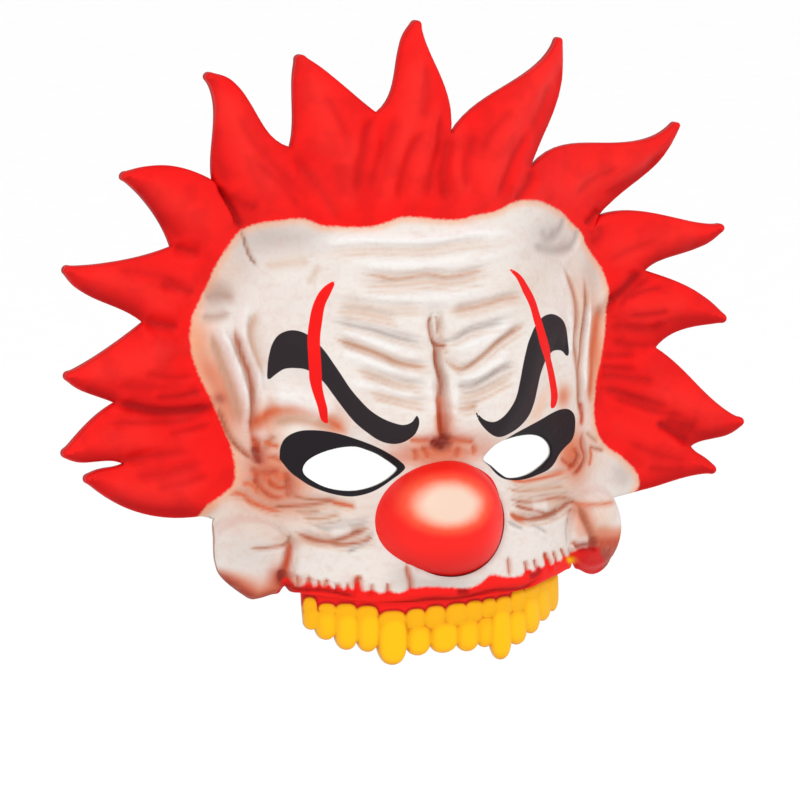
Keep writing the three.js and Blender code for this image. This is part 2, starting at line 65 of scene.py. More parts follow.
class Tint(Enum):
    """Colours of the print and of the painted shade and highlights, as red, green and blue from 0
    to 255.
    """

    SKIN = (240, 231, 224)
    LIGHT = (250, 246, 243)
    BEIGE = (228, 203, 186)
    TAN = (208, 160, 134)
    BROWN = (184, 104, 76)
    GREY = (197, 186, 180)
    MUD = (164, 122, 104)
    PEACH = (250, 172, 130)
    BLUSH = (222, 112, 74)
    RUST = (196, 74, 44)
    WINE = (146, 50, 40)
    RED = (250, 18, 15)
    # RED_HIGHLIGHT is the painted highlight on the hair's ridges and raised locks; RED_DEEP is also
    # the painted shade in the hair's grooves and along its lower edges.
    RED_HIGHLIGHT = (255, 54, 47)
    RED_DEEP = (178, 3, 6)
    LIP = (252, 26, 20)
    LIP_DEEP = (176, 8, 6)
    TOOTH = (255, 202, 8)
    BLACK = (33, 27, 32)
    BROW = (45, 37, 41)

    def dye(self, paint: Array, share: Array) -> None:
        """Mixes a share of this colour into paint from 0 to 1, in place."""
        paint += share[:, None] * (np.array(self.value) / 255 - paint)

    def coat(self, x: Array) -> Array:
        """Paint of this colour from 0 to 1, one row for each place."""
        return np.tile(np.array(self.value) / 255, (x.size, 1))


def as_light(paint: Array) -> Array:
    """Printed colours from 0 to 1 as linear light."""
    paint = np.clip(paint, 0, 1)
    return np.where(paint <= 0.04045, paint / 12.92, ((paint + 0.055) / 1.055) ** 2.4)


def linear(tint: Tint | Spot) -> Colour:
    """A printed colour, or its three parts from 0 to 255, as linear light and opacity."""
    parts = as_light(np.array(tint.value if isinstance(tint, Tint) else tint, float) / 255)
    return (*map(float, parts), 1.0)


def pairs(*flat: float) -> Rows:
    """Numbers in turn as pairs."""
    return tuple(zip(flat[::2], flat[1::2]))


def smooth(t: Array | float) -> Array:
    """Eases from 0 to 1 as t goes from 0 to 1."""
    c = np.clip(t, 0.0, 1.0)
    return c * c * (3 - 2 * c)


def beyond(place: Array | float, start: float, fade: float) -> Array:
    """Eases from 0 at the start to 1 where the fade ends."""
    return smooth((place - start) / fade)


def bump(distance: Array, width: float) -> Array:
    """Bell curve of unit height."""
    return np.exp(-((distance / width) ** 2))


def rounded(distance: Array, reach: float, drop: float, share: Array | float = 1.0) -> Array:
    """How far a face drops beside an edge that is rounded over.

    Args:
        distance: Distance from the edge.
        reach: Where the rounding ends.
        drop: The whole drop at the edge.
        share: How much of the rounding there is.

    Returns:
        The drop at each place.
    """
    near = np.clip(1 - distance / reach, 0, 1) * share
    return drop * (1 - np.sqrt(np.clip(1 - near * near, 0, 1)))


def mixed(t: Array, start: float, end: float, a: Array, b: Array) -> Array:
    """Goes from a to b as t goes from start to end."""
    return (end - t) / (end - start) * a + (t - start) / (end - start) * b


def curve_through(rows: Rows, steps: int, closed: bool = False) -> Array:
    """A smooth curve through a few points, with knots spaced by the root of their distance.

    Args:
        rows: Points in X and Z.
        steps: Pieces of curve between two points.
        closed: Whether the curve runs back to its first point.

    Returns:
        Points of the curve, one row each.
    """
    knots = np.asarray(rows, float)
    if closed:
        padded = np.vstack([knots[-1], knots, knots[:2]])
    else:
        padded = np.vstack([2 * knots[0] - knots[1], knots, 2 * knots[-1] - knots[-2]])
    share = np.linspace(0, 1, steps, endpoint=False)[:, None]
    pieces = []
    for p0, p1, p2, p3 in zip(padded, padded[1:], padded[2:], padded[3:]):
        gaps = [max(1e-6, float(np.linalg.norm(b - a))) ** 0.5
                for a, b in ((p0, p1), (p1, p2), (p2, p3))]
        t0, t1, t2, t3 = 0.0, gaps[0], gaps[0] + gaps[1], gaps[0] + gaps[1] + gaps[2]
        t = t1 + share * (t2 - t1)
        a1, a2, a3 = mixed(t, t0, t1, p0, p1), mixed(t, t1, t2, p1, p2), mixed(t, t2, t3, p2, p3)
        b1, b2 = mixed(t, t0, t2, a1, a2), mixed(t, t1, t3, a2, a3)
        pieces.append(mixed(t, t1, t2, b1, b2))
    points = np.vstack(pieces)
    return points if closed else np.vstack([points, knots[-1]])


def chain_distance(x: Array, z: Array, chain: Array) -> tuple[Array, Array, Array]:
    """Distance to a chain of straight pieces.

    Args:
        x: Places across.
        z: Places up.
        chain: Points of the chain.

    Returns:
        The distance, how far along the chain the nearest point lies, from 0 to 1, and the
        upward part of the way to it.
    """
    best = np.full(x.shape, np.inf)
    along = np.zeros(x.shape)
    rise = np.zeros(x.shape)
    lengths = np.linalg.norm(np.diff(chain, axis=0), axis=1)
    total = max(1e-9, lengths.sum())
    run = 0.0
    for (ax, az), (bx, bz), length in zip(chain, chain[1:], lengths):
        dx, dz = bx - ax, bz - az
        t = np.clip(((x - ax) * dx + (z - az) * dz) / max(1e-12, dx * dx + dz * dz), 0, 1)
        off_z = az + t * dz - z
        distance = np.hypot(x - ax - t * dx, off_z)
        nearer = distance < best
        best = np.where(nearer, distance, best)
        along = np.where(nearer, (run + t * length) / total, along)
        rise = np.where(nearer, off_z / np.maximum(distance, 1e-6), rise)
        run += length
    return best, along, rise


def inside_by(x: Array, z: Array, loop: Array) -> tuple[Array, Array]:
    """How far inside a closed loop each point lies.

    Args:
        x: Places across.
        z: Places up.
        loop: Points of the loop, the last not repeated.

    Returns:
        The distance to the loop, negative outside it, and the upward part of the way from
        each point to the loop's nearest point.
    """
    closed = np.vstack([loop, loop[:1]])
    best, _, rise = chain_distance(x, z, closed)
    inside = np.zeros(x.shape, bool)
    for (ax, az), (bx, bz) in zip(closed, closed[1:]):
        if az != bz:
            spans = (az > z) != (bz > z)
            inside ^= spans & (x < ax + (z - az) * (bx - ax) / (bz - az))
    return np.where(inside, best, -best), rise


def first_crossing(path: Array, loop: Array) -> tuple[Array, int]:
    """Where a path first meets a closed loop.

    Args:
        path: Points of the path.
        loop: Points of the loop.

    Returns:
        The point, and the index of the loop's point before it.
    """
    for a, b in zip(path, path[1:]):
        hits = []
        for i, (c, d) in enumerate(zip(loop, np.roll(loop, -1, axis=0))):
            way, edge = b - a, d - c
            cross = way[0] * edge[1] - way[1] * edge[0]
            if abs(cross) < 1e-12:
                continue
            off = c - a
            t = (off[0] * edge[1] - off[1] * edge[0]) / cross
            s = (off[0] * way[1] - off[1] * way[0]) / cross
            if 0 <= t <= 1 and 0 <= s <= 1:
                hits.append((t, i, a + t * way))
        if hits:
            _, index, point = min(hits, key=lambda hit: hit[0])
            return point, index
    raise ValueError("the path doesn't meet the loop")


@dataclass(frozen=True)
class SheetForm:
    """The moulded form of the sheet: how far back its faces lie at each place."""

    wall: float = 2.5
    gap: float = 0.3
    sheet_depth: float = 57.0
    turn_side: float = 67.6
    turn_power: float = 3.2
    crown_back: float = 10.0
    crown_start: float = 5.0
    crown_span: float = 80.0
    crown_pull: float = 0.55
    pull_start: float = 20.0
    pull_span: float = 90.0
    eye_side: float = 36.0
    eye_level: float = -46.0
    eye_half: Pair = (17.5, 9.0)
    brow_lift: float = 5.0
    brow_width: float = 9.0
    socket_sink: float = 5.0
    socket_spread: float = 1.35
    apple_lift: float = 3.5
    apple_side: float = 47.0
    apple_level: float = -70.0
    apple_half_height: float = 12.0
    muzzle_lift: float = 7.0
    muzzle_level: float = -95.5
    muzzle_half: Pair = (43.0, 16.5)
    cheek_lift: float = 12.0
    cheek_side: float = 74.0
    cheek_level: float = -82.0
    cheek_half: Pair = (17.0, 18.0)
    brow_line: Rows = ((0.3, 0.62), (0.62, 0.72), (0.95, 0.42), (1.25, 0.05), (1.6, -0.05),
                       (1.95, 0.4))

    def plain(self, x: Array, z: Array) -> Array:
        """Depth of the plain bent sheet."""
        turn = 1 - np.exp(-((np.abs(x) / self.turn_side) ** self.turn_power))
        pull = 1 - self.crown_pull * beyond(z, self.pull_start, self.pull_span)
        back = self.crown_back * beyond(z, self.crown_start, self.crown_span)
        return self.sheet_depth * turn * pull + back

    def inner(self, x: Array, z: Array) -> Array:
        """Depth of the inner face, with the forms that the whole wall follows."""
        side = np.abs(x)
        line = np.array([(a * self.eye_side, b * self.eye_level) for a, b in self.brow_line])
        brow = self.brow_lift * bump(chain_distance(side, z, line)[0], self.brow_width)
        socket = (self.socket_sink
                  * bump(side - self.eye_side, self.socket_spread * self.eye_half[0])
                  * bump(z - self.eye_level, self.socket_spread * self.eye_half[1]))
        apple = (self.apple_lift * bump(side - self.apple_side, self.eye_half[0])
                 * bump(z - self.apple_level, self.apple_half_height))
        muzzle = (self.muzzle_lift * bump(x, self.muzzle_half[0])
                  * bump(z - self.muzzle_level, self.muzzle_half[1]))
        r2 = (((side - self.cheek_side) / self.cheek_half[0]) ** 2
              + ((z - self.cheek_level) / self.cheek_half[1]) ** 2)
        lobe = np.clip(1 - r2, 0, 1)
        cheek = self.cheek_lift * lobe ** 0.75 * smooth(lobe * 2.4 + 0.1)
        return self.plain(x, z) + socket - brow - apple - muzzle - cheek

    def wall_depth(self, x: Array, z: Array) -> Array:
        """Depth taken by the wall, deeper where the sheet turns back."""
        step = 0.5
        dx = self.inner(x + step, z) - self.inner(x - step, z)
        dz = self.inner(x, z + step) - self.inner(x, z - step)
        return self.wall * np.minimum(2.0, np.sqrt(1 + dx * dx + dz * dz))


@dataclass(frozen=True)
class PictureView:
    """The picture's line of sight, to place print and folds where the picture shows them."""

    azimuth: float = -17.0
    elevation: float = 5.5
    roll: float = 3.2
    scale: float = 2.46
    origin: Pair = (436.0, 350.0)
    centre: Pair = (-15.7, -19.5)
    width: float = 325.2
    distance: float = 8000.0

    def lift(self, rows: Rows, form: SheetForm) -> Array:
        """Places on the sheet's outer face that lie under pixels of the picture.

        Args:
            rows: Pixels across and down.
            form: The sheet.

        Returns:
            Places in X and Z.
        """
        a, e, r = (math.radians(v) for v in (self.azimuth, self.elevation, self.roll))
        pixels = np.asarray(rows, float)
        du = (pixels[:, 0] - self.origin[0]) / self.scale
        dv = (self.origin[1] - pixels[:, 1]) / self.scale
        across = du * math.cos(r) + dv * math.sin(r)
        up = -du * math.sin(r) + dv * math.cos(r)
        x, z = across.copy(), up.copy()
        for _ in range(50):
            y = form.inner(x, z) - form.wall
            next_x = (across - y * math.sin(a)) / math.cos(a)
            next_z = (up + (x * math.sin(a) - y * math.cos(a)) * math.sin(e)) / math.cos(e)
            x, z = (x + next_x) / 2, (z + next_z) / 2
        return np.column_stack([x, z])


FORM = SheetForm()
PICTURE = PictureView()


def cell_size(cell: float) -> float:
    return cell * 1.0


def lifted(rows: Rows, steps: int = 5, closed: bool = False) -> Array:
    """A smooth curve on the sheet through pixels of the picture."""
    return curve_through(PICTURE.lift(rows, FORM), steps, closed)


@dataclass(frozen=True)
class Flame:
    """One flame of the hair.

    notch and tip are shares of the hair's half width and of its rise or drop. rise and fall
    say how far each flank bows outwards at a third and two thirds, as shares of its length.
    """

    notch: Pair
    tip: Pair
    rise: Pair
    fall: Pair


FLAMES = tuple(Flame(row[:2], row[2:4], row[4:6], row[6:]) for row in (
    (-0.60, -0.90, -0.925, -0.635, 0.11, 0.11, 0.07, 0.03),
    (-0.81, -0.57, -0.985, -0.485, 0.01, 0.08, 0.04, 0.05),
    (-0.825, -0.22, -0.965, -0.04, 0.05, 0.08, -0.02, -0.02),
    (-0.73, 0.12, -0.95, 0.305, 0.03, 0.085, -0.03, -0.04),
    (-0.645, 0.345, -0.795, 0.58, -0.06, -0.05, 0.12, 0.12),
    (-0.54, 0.545, -0.56, 0.875, -0.01, -0.045, 0.11, 0),
    (-0.35, 0.64, -0.32, 0.92, 0, 0.03, 0.03, 0.01),
    (-0.115, 0.73, 0.015, 1, -0.035, 0.05, 0.03, 0.07),
    (0.095, 0.65, 0.455, 0.905, 0.03, -0.025, 0.12, 0.085),
    (0.345, 0.52, 0.825, 0.605, 0.042, -0.04, 0.13, 0.07),
    (0.60, 0.335, 0.975, 0.265, 0.055, 0.025, 0.085, 0.02),
    (0.74, 0.15, 0.965, -0.04, 0.07, 0.09, -0.05, -0.09),
    (0.755, -0.165, 1, -0.625, 0, -0.03, 0.11, 0.04),
    (0.845, -0.75, 0.91, -0.90, 0, 0.05, -0.02, -0.01),
))


@dataclass(frozen=True)
class Outlines:
    """Edges of the mask and of its pieces, in millimetres."""

    face_half: float = 92.0
    face_rise: float = 58.0
    face_drop: float = 104.0
    hair_half: float = 147.0
    hair_rise: float = 134.0
    hair_drop: float = 72.0
    tip_width: float = 3.0
    tip_round: float = 2.0
    tip_reach: float = 13.0
    ball_side: float = 79.0
    ball_level: float = 74.0
    ball_spread: float = 13.0
    ball_top: float = 62.0
    ball_fade: float = 14.0
    ball_drop: float = 2.6
    ball_tuck: float = 1.7
    ball_cut: float = 2.4
    notch_side: float = 62.0
    notch_width: float = 3.5
    notch_drop: float = 2.8
    flames_end: Pair = (0.66, -0.985)
    dart_inner: tuple[Pair, Pair] = ((-0.72, 0.66), (0.80, 0.45))
    dart_bend: tuple[Pair, Pair] = ((-0.495, 0.43), (0.575, 0.30))
    dart_flame: tuple[int, int] = (5, 10)
    face_edge: Rows = pairs(
        0, 0.95, 0.3, 0.95, 0.51, 1, 0.72, 0.93, 0.87, 0.72, 0.955, 0.46, 1, 0.17, 0.985, -0.04,
        0.935, -0.17, 0.89, -0.29, 0.87, -0.42, 0.89, -0.52, 0.925, -0.61, 0.94, -0.7, 0.955,
        -0.79, 0.925, -0.88, 0.85, -0.945, 0.77, -0.95, 0.7, -0.915, 0.67, -0.875, 0.645, -0.91,
        0.6, -0.93, 0.5, -0.945, 0.37, -0.965, 0.18, -0.975, 0, -0.98)
    eye_right: Rows = pairs(
        303, 470, 306, 463, 312, 458, 322, 453, 335, 449, 347, 447, 357, 447, 367, 450, 377, 454,
        387, 460, 394, 465, 398, 469, 392, 476, 382, 483, 370, 488, 355, 491, 340, 490.5, 325,
        487, 312, 480.5, 305, 475)
    eye_left: Rows = pairs(
        484, 459.5, 489, 452, 495, 446, 503, 441, 512, 438, 521, 436, 531, 435, 540, 436.5, 547,
        441, 551, 448, 551, 455, 546, 462, 538, 469, 528, 475, 518, 478, 508, 478, 500, 473, 492,
        466)

    def face_place(self, shares: Pair) -> Array:
        """Shares of the face as millimetres."""
        across, up = shares
        height = self.face_rise if up > 0 else self.face_drop
        return np.array([across * self.face_half, up * height])

    def hair_place(self, shares: Pair) -> Array:
        """Shares of the hair as millimetres."""
        across, up = shares
        height = self.hair_rise if up > 0 else self.hair_drop
        return np.array([across * self.hair_half, up * height])

    def flames(self) -> list[tuple[Array, Array, Array]]:
        """First notch, tip and second notch of each flame in millimetres."""
        tips = [self.hair_place(flame.tip) for flame in FLAMES]
        notches = [self.hair_place(flame.notch) for flame in FLAMES]
        notches.append(self.hair_place(self.flames_end))
        return list(zip(notches, tips, notches[1:]))

    def face(self) -> Array:
        """Edge of the face piece, from the forehead round by the wearer's left."""
        half = [self.face_place(row) for row in self.face_edge]
        mirrored = [np.array([-x, z]) for x, z in half[-2:0:-1]]
        loop = curve_through(half + mirrored, 8, closed=True)
        low = (beyond(-loop[:, 1], self.ball_level, self.ball_fade)
               * bump(loop[:, 0] - self.ball_side, self.ball_spread))
        loop[:, 1] -= self.ball_drop * low
        below = beyond(-loop[:, 1], self.ball_top, self.ball_fade)
        loop[:, 0] += 0.6 * self.ball_drop * below * beyond(loop[:, 0], 74, 8)
        waist = 0.4 * bump(loop[:, 1] + self.ball_level, 5)
        tuck = (self.ball_tuck * (beyond(-loop[:, 1], 54, 8) - waist)
                + self.ball_cut * beyond(-loop[:, 1], 86, 12))
        loop[:, 0] += tuck * beyond(-loop[:, 0], 70, 10)
        notch = bump(np.abs(loop[:, 0]) - self.notch_side, self.notch_width)
        loop[:, 1] -= self.notch_drop * below * notch
        return loop

    def flank(self, start: Array, end: Array, bow: Pair, to_tip: bool) -> Array:
        """One flank of a flame, bowed outwards to the left of its way, finest at the tip."""
        way = end - start
        out = np.array([-way[1], way[0]])
        first, second = 3 * bow[0] - 1.5 * bow[1], 3 * bow[1] - 1.5 * bow[0]
        handles = [start, start + way / 3 + out * first, start + way * 2 / 3 + out * second, end]
        t = np.linspace(0, 1, 25)[:, None] ** 1.7
        t = 1 - t[::-1] if to_tip else t
        return ((1 - t) ** 3 * handles[0] + 3 * t * (1 - t) ** 2 * handles[1]
                + 3 * t * t * (1 - t) * handles[2] + t ** 3 * handles[3])

    def blunt(self, rows: Array, tip: Array, inward: Array) -> Array:
        """Fills a flank out to a round end at the tip.

        Args:
            rows: Points of the flank.
            tip: The flame's tip.
            inward: Unit way from the tip into the flame.

        Returns:
            The fuller flank.
        """
        across = np.array([-inward[1], inward[0]])
        off = rows - tip
        deep, side = off @ inward, off @ across
        sign = 1.0 if side[np.argmin(np.abs(deep - 5))] > 0 else -1.0
        width = np.maximum(side * sign, 0)
        radius = self.tip_round
        end = np.sqrt(np.clip(radius ** 2 - (radius - np.clip(deep, 0, radius)) ** 2, 0, None))
        end += 0.22 * np.clip(deep - radius, 0, None)
        fuller = (width ** 4 + end ** 4) ** 0.25 - width
        fuller *= smooth((self.tip_reach - deep) / 8) * sign
        return rows + fuller[:, None] * across

    def hair(self) -> list[Array]:
        """Outer edge of the hair, one array for each flame from its notch to the next."""
        edges = []
        for flame, (start, tip, end) in zip(FLAMES, self.flames()):
            rise = self.flank(start, tip, flame.rise, True)
            fall = self.flank(tip, end, flame.fall, False)
            inward = np.zeros(2)
            for rows in (rise, fall):
                off = rows - tip
                near = off[np.argmin(np.abs(np.linalg.norm(off, axis=1) - 5))]
                inward += near / np.linalg.norm(near)
            inward /= np.linalg.norm(inward)
            edges.append(np.vstack([self.blunt(rise, tip, inward)[:-1],
                                    self.blunt(fall, tip, inward)[:-1]]))
        return edges

    def dart(self, side: int) -> Array:
        """Line of a dart from inside the face to its notch; side 0 is the wearer's right."""
        notch = FLAMES[self.dart_flame[side]].notch
        return np.array([self.face_place(self.dart_inner[side]),
                         self.hair_place(self.dart_bend[side]), self.hair_place(notch)])


@dataclass(frozen=True)
class NoseForm:
    """Sizes of the nose ball."""

    half_width: float = 26.2
    half_height: float = 24.2
    reach: float = 25.0
    centre: float = 3.0
    tail: float = 6.0
    level: float = -69.5
    wall: float = 2.5
    full_side: float = 1.16
    full_height: float = 1.05
    lean_side: float = 0.93
    flange_side: float = 1.055

    def ring(self, share: float, steps: int = 96) -> Array:
        """An ellipse round the ball, at a share of its size."""
        turn = np.linspace(0, 2 * math.pi, steps, endpoint=False)
        return np.column_stack([share * self.half_width * np.cos(turn),
                                self.level + share * self.half_height * np.sin(turn)])


OUTLINES = Outlines()
NOSE = NoseForm()


class Cuts:
    """The edges of all pieces, cut from the mask's outlines."""

    def __init__(self) -> None:
        """Works out where darts and hair meet the face's edge."""
        face = OUTLINES.face()
        flames = OUTLINES.hair()
        end = OUTLINES.hair_place(OUTLINES.flames_end)
        middle = 0.6 * OUTLINES.face_half
        low = -0.72 * OUTLINES.face_drop
        darts = [OUTLINES.dart(0), OUTLINES.dart(1)]
        (dart_right, b), (dart_left, a) = (first_crossing(line, face) for line in darts)
        foot_left, c = first_crossing(np.array([[middle, low], end]), face)
        foot_right, d = first_crossing(np.array([[-middle, low], flames[0][0]]), face)
        first, second = OUTLINES.dart_flame
        bends = [line[1] for line in darts]
        over = np.vstack([face[a:0:-1], face[0], face[:b:-1]])
        self.face = face
        self.crown = np.vstack([*flames[first:second], flames[second][:1], bends[1], dart_left,
                                over, dart_right, bends[0]])
        self.left = np.vstack([*flames[second:], end, foot_left, face[c:a:-1], dart_left, bends[1]])
        self.right = np.vstack([*flames[:first], flames[first][:1], bends[0], dart_right,
                                face[b:d:-1], foot_right])
        self.mask = np.vstack([*flames, end, foot_left, face[c + 1:d + 1], foot_right])
        self.darts = darts
        self.eyes = [lifted(rows, 3, closed=True)
                     for rows in (OUTLINES.eye_right, OUTLINES.eye_left)]
        self.nose = NOSE.ring(0.93)


CUTS = Cuts()


@dataclass(frozen=True)
class Crease:
    """A fold or groove along pixels of the picture, pressed in and tinted.

    dip is its depth in millimetres, and less than nothing raises it. The tint spreads over
    the width, and amount says how much of it shows.
    """

    rows: Rows
    width: float
    dip: float
    tint: Tint
    amount: float

    def fade(self, x: Array, z: Array) -> tuple[Array, Array, Array, Array]:
        """The places near the crease, measured against it.

        Args:
            x: Places across.
            z: Places up.

        Returns:
            Indices, distance as a share of the tapered width, fade, and the upward part of
            the way to the crease.
        """
        chain = lifted(self.rows, 4)
        reach = 3.2 * self.width
        low, high = chain.min(0) - reach, chain.max(0) + reach
        near = np.flatnonzero((x > low[0]) & (x < high[0]) & (z > low[1]) & (z < high[1]))
        distance, along, rise = chain_distance(x[near], z[near], chain)
        taper = smooth(along * 5) * smooth((1 - along) * 5)
        return near, distance / (self.width * (0.45 + 0.55 * taper)), taper, rise

    def press(self, x: Array, z: Array, lift: Array) -> None:
        """Adds the crease to the lift of the outer face."""
        near, distance, fade, _ = self.fade(x, z)
        shoulder = 0.5 * bump(distance - 1.9, 0.9)
        lift[near] += 1.5 * self.dip * fade * (shoulder - bump(distance, 0.9))

    def stain(self, x: Array, z: Array, paint: Array) -> None:
        """Adds the crease's tint, with painted shade spread above its line and a painted highlight
        below it, as if lit from above.

        Args:
            x: Places across.
            z: Places up.
            paint: Red, green and blue from 0 to 1, changed in place.
        """
        near, distance, fade, rise = self.fade(x, z)
        part = paint[near]
        if self.dip > 0:
            # Painted highlight just below the crease line.
            painted_highlight_below = 0.35 * self.amount * fade * bump(distance - 1.7, 0.8) * (0.5 + 0.5 * rise)
            part += painted_highlight_below[:, None] * (np.minimum(1.0, part * 1.10) - part)
            # The narrow core is the crease's tint; its wider part, stronger above the line, is
            # painted shade.
            core = bump(distance, 0.62) + 0.42 * bump(distance, 1.7) * (0.55 - 0.45 * rise)
        else:
            core = bump(distance, 1.3)
        self.tint.dye(part, np.minimum(1, 1.2 * self.amount * fade * core))
        paint[near] = part


@dataclass(frozen=True)
class Blot:
    """A soft round stain centred on a pixel of the picture; sizes are in pixels."""

    centre: Pair
    half: Pair
    turn: float
    tint: Tint
    amount: float

    def stain(self, x: Array, z: Array, paint: Array) -> None:
        """Adds the stain to a paint of red, green and blue from 0 to 1."""
        (cx, cz), = PICTURE.lift([self.centre], FORM)
        angle = math.radians(self.turn)
        along = (x - cx) * math.cos(angle) + (z - cz) * math.sin(angle)
        over = -(x - cx) * math.sin(angle) + (z - cz) * math.cos(angle)
        scale = PICTURE.scale
        r2 = (along * scale / self.half[0]) ** 2 + (over * scale / self.half[1]) ** 2
        self.tint.dye(paint, self.amount * np.exp(-r2 * 1.1))


def creases(*rows: tuple) -> tuple[Crease, ...]:
    """Creases from rows of width, dip, tint, amount and then pixels in turn."""
    return tuple(Crease(pairs(*row[4:]), *row[:4]) for row in rows)


def hair_crease(width: float, dip: float, amount: float, *flat: float) -> Crease:
    """A groove tinted deep red as painted shade or, with a dip below nothing, a raised lock tinted
    light red as a painted highlight.
    """
    soft = 1 if amount > 0.8 else 0.62
    tint = Tint.RED_DEEP if dip > 0 else Tint.RED_HIGHLIGHT
    return Crease(pairs(*flat), 1.35 * width, 0.8 * dip, tint, amount * soft)


def blots(*rows: tuple) -> tuple[Blot, ...]:
    """Stains from rows of centre, half sizes, turn, tint and amount."""
    return tuple(Blot(row[:2], row[2:4], *row[4:]) for row in rows)


FOREHEAD = creases(
    (2.4, -0.7, Tint.LIGHT, 0.6, 342, 262, 380, 265, 430, 263, 480, 257, 510, 252),
    (2.0, -0.8, Tint.LIGHT, 0.7, 330, 349, 350, 356, 375, 366, 400, 373, 425, 374),
    (2.0, -0.8, Tint.LIGHT, 0.7, 450, 378, 470, 377, 490, 366, 515, 350),
    (1.8, -0.7, Tint.LIGHT, 0.6, 345, 380, 370, 386, 395, 393, 424, 396),
    (1.6, 0.5, Tint.BEIGE, 0.6, 318, 262, 314, 275, 306, 286),
    (1.8, 0.5, Tint.BEIGE, 0.5, 330, 302, 360, 306, 400, 309, 430, 308),
    (1.5, 0.7, Tint.BEIGE, 0.6, 312, 256, 350, 250, 400, 250, 430, 250, 450, 246, 475, 242, 505,
     240),
    (2.6, -0.8, Tint.LIGHT, 0.8, 300, 243, 350, 240, 420, 240, 470, 234, 520, 230),
    (1.3, 0.7, Tint.TAN, 0.55, 352, 273, 380, 277, 395, 280, 410, 278, 428, 275, 448, 278, 465,
     275, 495, 267),
    (1.1, 0.5, Tint.BEIGE, 0.8, 350, 286, 380, 287, 400, 286, 426, 283, 450, 285, 465, 282, 488,
     278),
    (2.6, -0.7, Tint.LIGHT, 0.5, 345, 297, 390, 300, 440, 297, 490, 289),
    (1.4, 0.5, Tint.BEIGE, 0.7, 330, 312, 360, 314, 380, 318, 400, 322),
    (1.6, 0.7, Tint.TAN, 0.5, 442, 313, 470, 309, 490, 304, 505, 299, 526, 297),
    (1.2, 0.7, Tint.GREY, 0.7, 325, 322, 340, 323, 360, 328, 375, 331, 390, 336, 405, 340, 424,
     343),
    (1.2, 0.6, Tint.GREY, 0.7, 440, 341, 455, 338, 470, 331, 485, 327, 510, 322),
    (2.2, -0.9, Tint.LIGHT, 0.8, 335, 330, 365, 340, 400, 352, 422, 357),
    (1.4, 1.0, Tint.TAN, 0.75, 328, 336, 340, 341, 355, 346, 370, 351, 385, 357, 395, 362, 405,
     365, 420, 367, 434, 366),
    (1.3, 0.9, Tint.TAN, 0.7, 440, 353, 447, 362, 455, 368, 464, 369, 480, 359, 490, 350, 500,
     341, 515, 331, 530, 322),
    (2.0, -0.8, Tint.LIGHT, 0.7, 452, 352, 470, 345, 490, 335, 515, 318),
    (1.3, 0.6, Tint.BEIGE, 0.9, 352, 370, 370, 374, 385, 380, 402, 386, 425, 388),
    (1.3, 0.6, Tint.GREY, 0.6, 449, 384, 470, 387, 486, 380, 500, 371, 520, 364),
    (1.2, 0.5, Tint.BEIGE, 0.9, 450, 397, 468, 398, 485, 392, 500, 384, 516, 376),
    (1.3, 0.6, Tint.TAN, 0.6, 446, 405, 455, 408, 468, 409, 480, 404),
    (1.4, 0.5, Tint.BEIGE, 0.8, 366, 392, 390, 398, 410, 403, 428, 405),
    (1.1, 0.9, Tint.BROWN, 0.6, 434, 316, 429, 321, 428, 329, 430, 338, 433, 345),
    (1.0, 0.5, Tint.TAN, 0.6, 434, 316, 438, 320, 438, 329, 436, 337),
    (1.1, 0.7, Tint.BROWN, 0.7, 431, 338, 434, 344, 440, 346, 447, 346),
    (1.3, 1.2, Tint.BROWN, 0.85, 433, 340, 435, 350, 436, 362, 439, 374, 442, 385, 441, 396, 439,
     406),
    (2.2, 1.5, Tint.BLUSH, 0.95, 440, 392, 440, 405, 440, 420, 442, 438),
    (1.1, 0.6, Tint.RUST, 0.7, 440, 400, 441, 420, 443, 440),
    (2.4, -0.9, Tint.LIGHT, 0.5, 427, 375, 430, 395, 431, 420),
    (2.4, -0.9, Tint.LIGHT, 0.5, 450, 372, 452, 395, 452, 420),
)

BRIDGE = creases(
    (2.6, 1.2, Tint.WINE, 0.85, 428, 440, 436, 444, 444, 443, 454, 441),
    (2.0, 0.8, Tint.WINE, 0.7, 444, 432, 443, 442, 441, 452),
    (1.2, 0.7, Tint.BLUSH, 0.8, 421, 446, 425, 452, 427, 459),
    (1.1, 0.5, Tint.BLUSH, 0.6, 413, 448, 416, 455, 415, 462),
    (1.2, 0.6, Tint.BLUSH, 0.8, 456, 446, 457, 452, 455, 458),
    (1.1, 0.5, Tint.BLUSH, 0.7, 471, 445, 474, 450, 473, 456),
    (1.4, 0.5, Tint.BLUSH, 0.7, 446, 441, 460, 441, 476, 443),
    (1.4, 0.5, Tint.BLUSH, 0.6, 408, 440, 418, 441, 430, 440),
)

